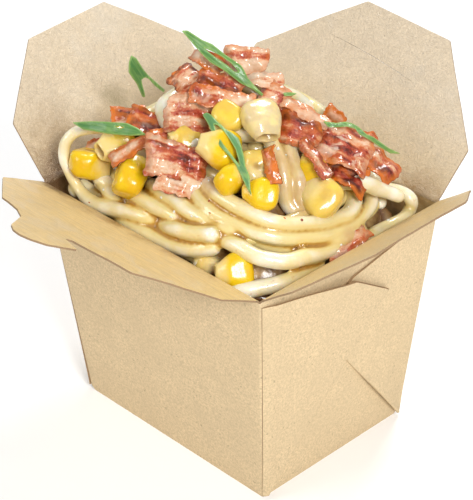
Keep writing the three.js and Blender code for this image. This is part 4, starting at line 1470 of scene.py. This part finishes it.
def near_spots(mesh, spots):
    """How close each point of a mesh lies to the nearest of some spots, from 0 to 1."""
    tree = KDTree(len(mesh.vertices))
    for vertex in mesh.vertices:
        tree.insert(vertex.co, vertex.index)
    tree.balance()
    values = [0.0] * len(mesh.vertices)
    for place, reach in spots:
        for _, index, distance in tree.find_range(above_rim(place), reach * MM):
            values[index] = max(values[index], 1 - smooth(0.3 * reach * MM, reach * MM, distance))
    return values


def grow_noodles(name, paths, settings, tree, swell=0.0):
    """The mesh of noodles along the paths."""
    noodles = settings.noodles
    carrier = curve_of(name + "_paths", paths)
    apply_tree(
        carrier, tree, Radius=noodles.radius + swell, Step=noodles.step, Waver=noodles.waver,
        Sides=noodles.sides, Skin=noodle_skin(settings),
    )
    return finished_mesh(carrier, name)


def sauced_noodles(name, paths, settings, tree):
    """The noodles on top and the lumps of cream, run together where sauce fills their gaps."""
    noodles = settings.noodles
    mesh = grow_noodles(name, paths, settings, tree, swell=noodles.sauce)
    shapes = bmesh.new()
    shapes.from_mesh(mesh)
    for place, radii in CREAM_LUMPS:
        sizes = Matrix.Diagonal([radius * MM + noodles.sauce for radius in radii]).to_4x4()
        matrix = Matrix.Translation(above_rim(place)) @ sizes
        bmesh.ops.create_icosphere(shapes, subdivisions=3, radius=1, matrix=matrix)
    shapes.to_mesh(mesh)
    shapes.free()
    carrier = placed_piece(name + "_swollen", mesh)
    fuse = carrier.modifiers.new("fuse", "REMESH")
    fuse.mode = "VOXEL"
    fuse.voxel_size = noodles.grain
    soften = carrier.modifiers.new("soften", "SMOOTH")
    soften.factor = 0.5
    soften.iterations = 2
    apply_tree(carrier, sauce_tree(), Sink=noodles.sauce, Skin=noodle_skin(settings))
    return finished_mesh(carrier, name)


def tint_noodles(mesh, lower):
    """Stores where broth, and painted shade under the toppings, colour the noodles, and how deep they lie,
    for painted shade low in the box and deep in the heap.
    """
    give(mesh, "broth_and_shade", near_spots(mesh, BROTH_AND_SHADE_SPOTS))
    deep = []
    for vertex in mesh.vertices:
        in_box = smooth(HEIGHT - (1 if lower else 5) * MM, HEIGHT - (8 if lower else 14) * MM, vertex.co.z)
        in_heap = smooth(1.5 * MM, 8 * MM, heap_depth(vertex.co)) if lower else 0.0
        deep.append(max(in_box, in_heap))
    give(mesh, "deep", deep)


def noodle_bed(settings):
    """What lies deep under the noodles: a bumpy dome that fills the box, painted dark as shade."""
    columns = 72
    inset = 1.2 * MM
    shoulder = HEIGHT - 19 * MM
    sunk = -9.5
    rings = []
    for z in (1.0 * MM, shoulder * 0.5, shoulder):
        ring = []
        for column in range(columns):
            angle = 2 * math.pi * column / columns
            c, s = math.cos(angle), math.sin(angle)
            square = squared(c, s, 8)
            ring.append(Vector((
                (half_length(settings, z) - inset) * square * c,
                (half_width(settings, z) - inset) * square * s,
                z,
            )))
        rings.append(ring)
    for reach in (0.99, 0.95, 0.88, 0.8, 0.7, 0.6, 0.5, 0.4, 0.3, 0.2, 0.1):
        rings.append([heap_point(360 * column / columns, reach, sunk) for column in range(columns)])
    for ring in rings[2:]:
        for point in ring:
            point.z += 0.9 * MM * wander(point.x * 260, point.y * 260, point.z * 260)
    points = [point for ring in rings for point in ring]
    faces = grid_faces(len(rings), columns, wrap_columns=True)
    faces.append(tuple(reversed(range(columns))))
    faces.append(tuple(range(len(points) - columns, len(points))))
    return new_piece("noodle_bed", points, faces, [shaded_deep_noodles(settings)])


# ------------------------------------------------------------------ sweetcorn
def kernel_profile(t, foot):
    """Width, depth and roundness of a kernel at t, from 0 at its cut foot to 1 at its crown."""
    crown = max(0.0, 1 - (max(t - 0.6, 0) / 0.4) ** 2.3) ** 0.48
    width = (foot + (1 - foot) * smooth(-0.06, 0.52, t)) * crown
    depth = (0.52 + 0.48 * smooth(-0.1, 0.42, t)) * crown
    return width, depth, crown


def pit_at(seed, t, angle):
    """How deep a spot of a kernel lies in the pit where it was torn from its cob, 0 to 1."""
    if seed not in KERNEL_PITS:
        return 0.0
    where, bearing, reach = KERNEL_PITS[seed]
    turn = math.remainder(angle - math.radians(bearing), 2 * math.pi)
    return math.exp(-((t - where) / reach) ** 2 - (turn / (reach * 4)) ** 2)


def kernel_mesh(place, turn, scale, settings, seed):
    """One kernel: a squarish wedge with a dimpled crown and a hollow, torn foot. Returns points,
    faces, and how far along it and how deep in its hollow each point lies."""
    toppings = settings.toppings
    length = toppings.kernel_length * scale
    width = toppings.kernel_width * scale
    depth = toppings.kernel_depth * scale
    around = 36
    stations = 26
    squareness = 2.9
    rings = []
    foot = BROAD_FEET.get(seed, KERNEL_FOOT)
    wide, deep, _ = kernel_profile(0, foot)
    for t, share, inward in ((0.24, 0.2, 1.0), (0.17, 0.45, 0.9), (0.06, 0.66, 0.5), (0.0, 0.84, 0.1)):
        rings.append((t, wide * share, deep * share, 1.0, inward))
    for station in range(stations):
        t = 1 - (1 - station / (stations - 1)) ** 1.7
        rings.append((t, *kernel_profile(min(t, 0.9992), foot), 0.0))
    points, lengths, hollows = [], [], []
    for row, (t, wide, deep, crown, inward) in enumerate(rings):
        torn = 0.35 * MM if row in (3, 4) else 0.0
        dimple = 0.07 * length * (1 - crown) ** 1.5 * smooth(0.8, 1.0, t)
        for step in range(around):
            angle = 2 * math.pi * step / around
            c, s = math.cos(angle), math.sin(angle)
            square = squared(c, s, squareness)
            dent = 1 - 0.14 * max(0, s) ** 3 * smooth(0.2, 0.6, t) * smooth(1.0, 0.78, t)
            point = Vector((
                (t - 0.5) * length - dimple + torn * wander(c * 2, s * 2, seed * 3.7),
                width / 2 * wide * square * c,
                depth / 2 * deep * square * s * dent,
            ))
            lump = wander(point.x * 170 + seed * 3.1, point.y * 170, point.z * 170 + seed)
            crinkle = wander(point.x * 520, point.y * 520 + seed, point.z * 520)
            point *= 1 + 0.08 * lump + 0.018 * crinkle
            pit = pit_at(seed, t, angle) * (1 - inward)
            point.y *= 1 - 0.5 * pit
            point.z *= 1 - 0.5 * pit
            points.append(point)
            lengths.append(t)
            hollows.append(max(inward, 0.8 * smooth(0.35, 0.95, pit)))
    faces = grid_faces(len(rings), around, wrap_columns=True)
    faces.append(tuple(reversed(range(around))))
    faces.append(tuple(range(len(points) - around, len(points))))
    matrix = turned(place, turn)
    return [matrix @ point for point in points], faces, lengths, hollows


# ------------------------------------------------------------------ bacon
def torn_outline(size, seed):
    """A slice's outline: four crooked sides, torn by the knife and shrunk by the pan."""
    rng = random.Random(seed * 31)
    length, width = size
    short = min(size)
    taper = rng.uniform(-0.3, 0.3)
    corners = []
    for u, v in ((-1, -1), (0, -1), (1, -1), (1, 0), (1, 1), (0, 1), (-1, 1), (-1, 0)):
        stray = 0.13 if u and v else 0.09
        corners.append(Vector((
            u * length * 0.48 + rng.uniform(-stray, stray) * short,
            v * width * 0.48 * (1 + taper * u) + rng.uniform(-stray, stray) * short,
        )))
    outline = rounded_outline(corners, 0.7, 0.5)
    torn = []
    for index, point in enumerate(outline):
        before, after = outline[index - 1], outline[(index + 1) % len(outline)]
        run = (after - before).normalized()
        across = Vector((run.y, -run.x))
        rag = 0.07 * short * wander(point.x * 0.3, point.y * 0.3, seed * 1.7)
        rag += 0.55 * wander(point.x * 0.7, point.y * 0.7, seed * 2.9)
        rag += 0.28 * wander(point.x * 2.0, point.y * 2.0, seed * 4.3)
        torn.append(point + across * rag)
    return torn


def rasher_piece(index, settings):
    """One slice of bacon: thin at its torn rim, ruffled along its length and pitted."""
    place, size, turn, bend = RASHER_PLACES[index]
    seed = index + 1
    matrix = turned(place, turn)
    plate = Plate(torn_outline(size, seed), [], 0.5)
    half = settings.toppings.bacon_thickness / MM / 2
    rng = random.Random(seed * 17)
    ruffle = rng.uniform(0.35, 0.6)
    phase = rng.uniform(0, 6)
    slant = rng.uniform(-0.5, 0.5)

    def shape(spot, side):
        u, v = 2 * spot.x / size[0], 2 * spot.y / size[1]
        rim = plate.rim(spot)
        arch = bend * (1 - u * u) + 0.3 * math.sin(2.5 * u + seed) * v
        sway = wander(spot.x * 0.2, spot.y * 0.3, seed)
        waves = ruffle * math.sin((spot.x + slant * spot.y) * 0.85 + phase + sway)
        ripple = 0.6 * wander(spot.x * 0.16, spot.y * 0.2, seed * 5.7)
        curl = 1.9 * (1 - smooth(0, 3.2, rim)) * wander(spot.x * 0.17, spot.y * 0.17, seed * 7.9)
        welts = 0.22 * wander(spot.x * 0.25, spot.y * 1.1, seed * 3.3)
        pits = 0.11 * wander(spot.x * 0.9, spot.y * 1.3, seed + side * 3)
        pits += 0.05 * wander(spot.x * 2.1, spot.y * 2.4, seed - side * 5)
        thick = half * (0.3 + 0.62 * smooth(0, 2.2, rim))
        thick += 0.25 * wander(spot.x * 0.4, spot.y * 0.5, seed * 9.1) * smooth(0, 2, rim)
        level = arch + waves + ripple + curl + side * (thick + (pits + welts) * smooth(-0.2, 1.2, rim))
        return matrix @ (Vector((spot.x, spot.y, level)) * MM)

    points, faces = plate.solid(shape, ribs=((0.5, 0.16), (-0.5, 0.16)))
    piece = new_piece(f"bacon_slice_{seed:02d}", points, faces, [bacon_flesh(settings)], sharp=75)
    offset = seed * 0.137
    grain = [(spot.x * MM + offset, spot.y * MM + offset, offset) for spot in plate.spots]
    rims = [plate.rim(spot) * MM for spot in plate.spots]
    layers = [
        (plate.spots[i].x * MM + offset, plate.spots[i].y * MM + offset + level * 0.8 * MM, offset)
        for level in (1, 2) for i in plate.ring
    ]
    give(piece.data, "grain", grain * 2 + layers)
    give(piece.data, "rim", rims * 2 + [0.0] * len(layers))
    give(piece.data, "side", [0.0] * (2 * len(grain)) + [1.0] * len(layers))
    give(piece.data, "look", [BACON_LOOKS[index]] * len(points))
    return piece


# ------------------------------------------------------------------ green onion
def sliver_piece(index, settings):
    """One sliver of green onion: a thin, cupped, ribbed blade between its two tips."""
    sliver = SLIVERS[index]
    tip_a, tip_b = (above_rim(end) for end in sliver["ends"])
    along = (tip_b - tip_a).normalized()
    reach = (tip_b - tip_a).length / 2 / MM
    facing = (SLIVER_FACING - along * SLIVER_FACING.dot(along)).normalized()
    across = facing.cross(along)
    centre = (tip_a + tip_b) / 2
    fine = 0.6
    outline = rounded_outline(sliver["outline"], 0.35, fine)
    holes = [rounded_outline(sliver["hole"], 0.3, fine)] if sliver["hole"] else []
    plate = Plate(outline, holes, fine)
    half = settings.toppings.onion_thickness / MM / 2

    def shape(spot, side):
        bow = sliver["bow"] * (1 - (spot.x / reach) ** 2)
        cup = -0.07 * spot.y ** 2
        ripple = 0.3 * wander(spot.x * 0.25, spot.y * 0.5, index * 3.3)
        rib = 0.05 * math.sin(spot.y * 7 + 1.5 * wander(spot.x * 0.3, spot.y, index))
        lift = bow + cup + ripple + side * (half + rib)
        return centre + (along * spot.x + across * spot.y + facing * lift) * MM

    points, faces = plate.solid(shape, ribs=((0, 0.12),))
    piece = new_piece(f"sliver_{index + 1:02d}", points, faces, [onion_leaf(settings)], sharp=70)
    blade = [(spot.x * MM, spot.y * MM, 0.0) for spot in plate.spots]
    give(piece.data, "blade", blade * 2 + [blade[i] for i in plate.ring])
    give(piece.data, "rim", [plate.rim(spot) * MM for spot in plate.spots] * 2 + [0.0] * len(plate.ring))
    give(piece.data, "blue", [sliver["blue"]] * len(points))
    return piece


# ------------------------------------------------------------------ operators
def settings_of(context):
    """The box's settings in a scene."""
    return context.scene.noodle_box


def finish_piece(piece, slot, nodes=(), body=BODY):
    """Every piece rides on a body; slot is not used."""
    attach(piece, body)
    if nodes:
        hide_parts(*nodes)


class NOODLEBOX_OT_stage(bpy.types.Operator):
    """Make the floor, the lights, the sky and the camera"""

    bl_idname = "noodlebox.stage"
    bl_label = "Stage"

    def execute(self, context):
        stage = settings_of(context).stage
        half = stage.floor_size / 2
        corners = [(-half, -half, 0), (half, -half, 0), (half, half, 0), (-half, half, 0)]
        floor = new_piece("floor", corners, [(0, 1, 2, 3)], [pale_floor(settings_of(context))])
        self.light("key", (0.90, -0.42, 0.76), 0.34, stage.key_power)
        self.light("fill", (-0.42, -1.12, 0.82), 0.55, stage.fill_power)
        self.light("top", (-0.26, 0.65, 1.18), 0.38, stage.top_power)
        world = bpy.data.worlds.new("pale_sky")
        world.use_nodes = True
        background = world.node_tree.nodes["Background"]
        background.inputs["Color"].default_value = (1, 1, 1, 1)
        background.inputs["Strength"].default_value = stage.sky
        context.scene.world = world
        context.scene.view_settings.view_transform = "Standard"
        self.camera(context, stage.lens)
        return {"FINISHED"}

    @staticmethod
    def light(name, place, size, power):
        data = bpy.data.lights.new(name, "AREA")
        data.shape = "SQUARE"
        data.size = size
        data.energy = power
        lamp = bpy.data.objects.new(name, data)
        lamp.location = place
        aim = Vector((0, 0, HEIGHT)) - Vector(place)
        lamp.rotation_euler = aim.to_track_quat("-Z", "Y").to_euler()
        bpy.context.scene.collection.objects.link(lamp)

    @staticmethod
    def camera(context, lens):
        azimuth, elevation, roll = (math.radians(value) for value in CAMERA_TURN.values())
        level_right = Vector((math.cos(azimuth), math.sin(azimuth), 0))
        back = Vector((
            math.sin(azimuth) * math.cos(elevation),
            -math.cos(azimuth) * math.cos(elevation),
            math.sin(elevation),
        ))
        level_up = back.cross(level_right)
        right = level_right * math.cos(roll) + level_up * math.sin(roll)
        up = level_up * math.cos(roll) - level_right * math.sin(roll)
        data = bpy.data.cameras.new("camera")
        data.lens = lens
        data.sensor_width = 36
        data.clip_start = 0.02
        data.clip_end = 40
        camera = bpy.data.objects.new("camera", data)
        turn = Matrix((right, up, back)).transposed()
        camera.matrix_world = Matrix.Translation(CAMERA_AT) @ turn.to_4x4()
        context.scene.collection.objects.link(camera)
        context.scene.camera = camera


class NOODLEBOX_OT_tray(bpy.types.Operator):
    """Make the folded walls and bottom of the box, and the webs on its narrow walls"""

    bl_idname = "noodlebox.tray"
    bl_label = "Tray"

    def execute(self, context):
        settings = settings_of(context)
        walls = tray_walls(settings)
        finish_piece(walls, "kraft_board", ["tray"])
        for side, label in ((1, "right"), (-1, "left")):
            for mirrored in (False, True):
                grid = web_grid(settings, side, mirrored)
                name = f"web_{label}_{'lower' if mirrored else 'upper'}"
                web = board_piece(name, grid, settings, bare_board(settings), bare_board(settings))
                finish_piece(web, "kraft_board")
        return {"FINISHED"}


class NOODLEBOX_OT_flaps(bpy.types.Operator):
    """Make the four top flaps and the creases that they turn on"""

    bl_idname = "noodlebox.flaps"
    bl_label = "Flaps"

    def execute(self, context):
        settings = settings_of(context)
        for name in FLAPS:
            finish_piece(flap_piece(name, settings), "kraft_board", [name], body=name)
            crease, below, above = crease_piece(name, settings)
            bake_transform(crease)
            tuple(below)
            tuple(above)
        return {"FINISHED"}


class NOODLEBOX_OT_noodles(bpy.types.Operator):
    """Make the sauced noodles on top, the noodles between them, the bed, drops and crumbs"""

    bl_idname = "noodlebox.noodles"
    bl_label = "Noodles"

    def execute(self, context):
        settings = settings_of(context)
        seed = settings.noodles.seed
        tree = noodle_tree()
        rng = random.Random(seed)
        by_hand = [[above_rim(point) for point in strand] for strand in STRANDS]
        by_rule = [wreath_path(*wreath, rng) for wreath in WREATHS]
        top = sauced_noodles("noodles_on_top", by_hand + by_rule, settings, tree)
        tint_noodles(top, lower=False)
        finish_piece(placed_piece("noodles_on_top", top), "noodles", ["noodles"])
        lower = grow_noodles("noodles_between", lower_paths(settings), settings, tree)
        tint_noodles(lower, lower=True)
        finish_piece(placed_piece("noodles_between", lower), "noodles")
        finish_piece(noodle_bed(settings), "noodles")
        scatter = scatter_tree()
        for name, skin, slot, density, size, height, detail in (
            ("cream_drops", cream_sauce(settings), "noodles", 5000.0, 0.8 * MM, 0.35 * MM, 2),
            ("bacon_crumbs", fried_crumb(settings), "bacon", 900.0, 0.7 * MM, 0.35 * MM, 1),
        ):
            carrier = placed_piece(name + "_surface", top.copy())
            apply_tree(
                carrier, scatter, Density=density, Size=size, Height=height, Detail=detail,
                Seed=seed + detail, Skin=skin,
            )
            finish_piece(placed_piece(name, finished_mesh(carrier, name)), slot)
        return {"FINISHED"}


class NOODLEBOX_OT_corn(bpy.types.Operator):
    """Make the kernels of sweetcorn"""

    bl_idname = "noodlebox.corn"
    bl_label = "Sweetcorn"

    def execute(self, context):
        settings = settings_of(context)
        for index, (place, turn, scale) in enumerate(KERNEL_PLACES):
            points, faces, lengths, hollows = kernel_mesh(place, turn, scale, settings, index + 1)
            piece = new_piece(f"kernel_{index + 1:02d}", points, faces, [corn_skin(settings)])
            give(piece.data, "length", [t - KERNEL_FEET[index] for t in lengths])
            give(piece.data, "hollow", hollows)
            give(piece.data, "paleness", [KERNEL_PALENESS[index]] * len(points))
            finish_piece(piece, "sweetcorn", [f"corn_{index + 1:02d}"])
        return {"FINISHED"}


class NOODLEBOX_OT_bacon(bpy.types.Operator):
    """Make the slices of bacon"""

    bl_idname = "noodlebox.bacon"
    bl_label = "Bacon"

    def execute(self, context):
        settings = settings_of(context)
        for index in range(len(RASHER_PLACES)):
            finish_piece(rasher_piece(index, settings), "bacon", [f"bacon_{index + 1:02d}"])
        return {"FINISHED"}


class NOODLEBOX_OT_onion(bpy.types.Operator):
    """Make the slivers of green onion"""

    bl_idname = "noodlebox.onion"
    bl_label = "Green onion"

    def execute(self, context):
        settings = settings_of(context)
        for index in range(len(SLIVERS)):
            finish_piece(sliver_piece(index, settings), "onion", [f"onion_{index + 1:02d}"])
        return {"FINISHED"}


class NoodleBoxSettings(bpy.types.PropertyGroup):
    """All settings of the box."""

    board: bpy.props.PointerProperty(type=BoardSettings, name="Board", description="The board")
    noodles: bpy.props.PointerProperty(type=NoodleSettings, name="Noodles", description="The noodles")
    toppings: bpy.props.PointerProperty(type=ToppingSettings, name="Toppings", description="The toppings")
    stage: bpy.props.PointerProperty(type=StageSettings, name="Stage", description="The stage")


OPERATORS = (
    NOODLEBOX_OT_stage, NOODLEBOX_OT_tray, NOODLEBOX_OT_flaps, NOODLEBOX_OT_noodles,
    NOODLEBOX_OT_corn, NOODLEBOX_OT_bacon, NOODLEBOX_OT_onion,
)


class NOODLEBOX_PT_panel(bpy.types.Panel):
    """Lists the steps that dress the box"""

    bl_idname = "NOODLEBOX_PT_panel"
    bl_label = "Noodle Takeaway Box"
    bl_space_type = "VIEW_3D"
    bl_region_type = "UI"
    bl_category = "Takeaway"

    def draw(self, context):
        for operator in OPERATORS:
            self.layout.operator(operator.bl_idname)
        for label in ("board", "noodles", "toppings", "stage"):
            group = getattr(settings_of(context), label)
            box = self.layout.box()
            for name in group.bl_rna.properties.keys():
                if name not in ("rna_type", "name"):
                    box.prop(group, name)


CLASSES = (
    BoardSettings, NoodleSettings, ToppingSettings, StageSettings, NoodleBoxSettings,
    *OPERATORS, NOODLEBOX_PT_panel,
)


def register():
    for each in CLASSES:
        bpy.utils.register_class(each)
    bpy.types.Scene.noodle_box = bpy.props.PointerProperty(type=NoodleBoxSettings)


def unregister():
    del bpy.types.Scene.noodle_box
    for each in reversed(CLASSES):
        bpy.utils.unregister_class(each)


def main():
    register()
    for operator in OPERATORS:
        group, step = operator.bl_idname.split(".")
        getattr(getattr(bpy.ops, group), step)()


if __name__ == "__main__":
    main()
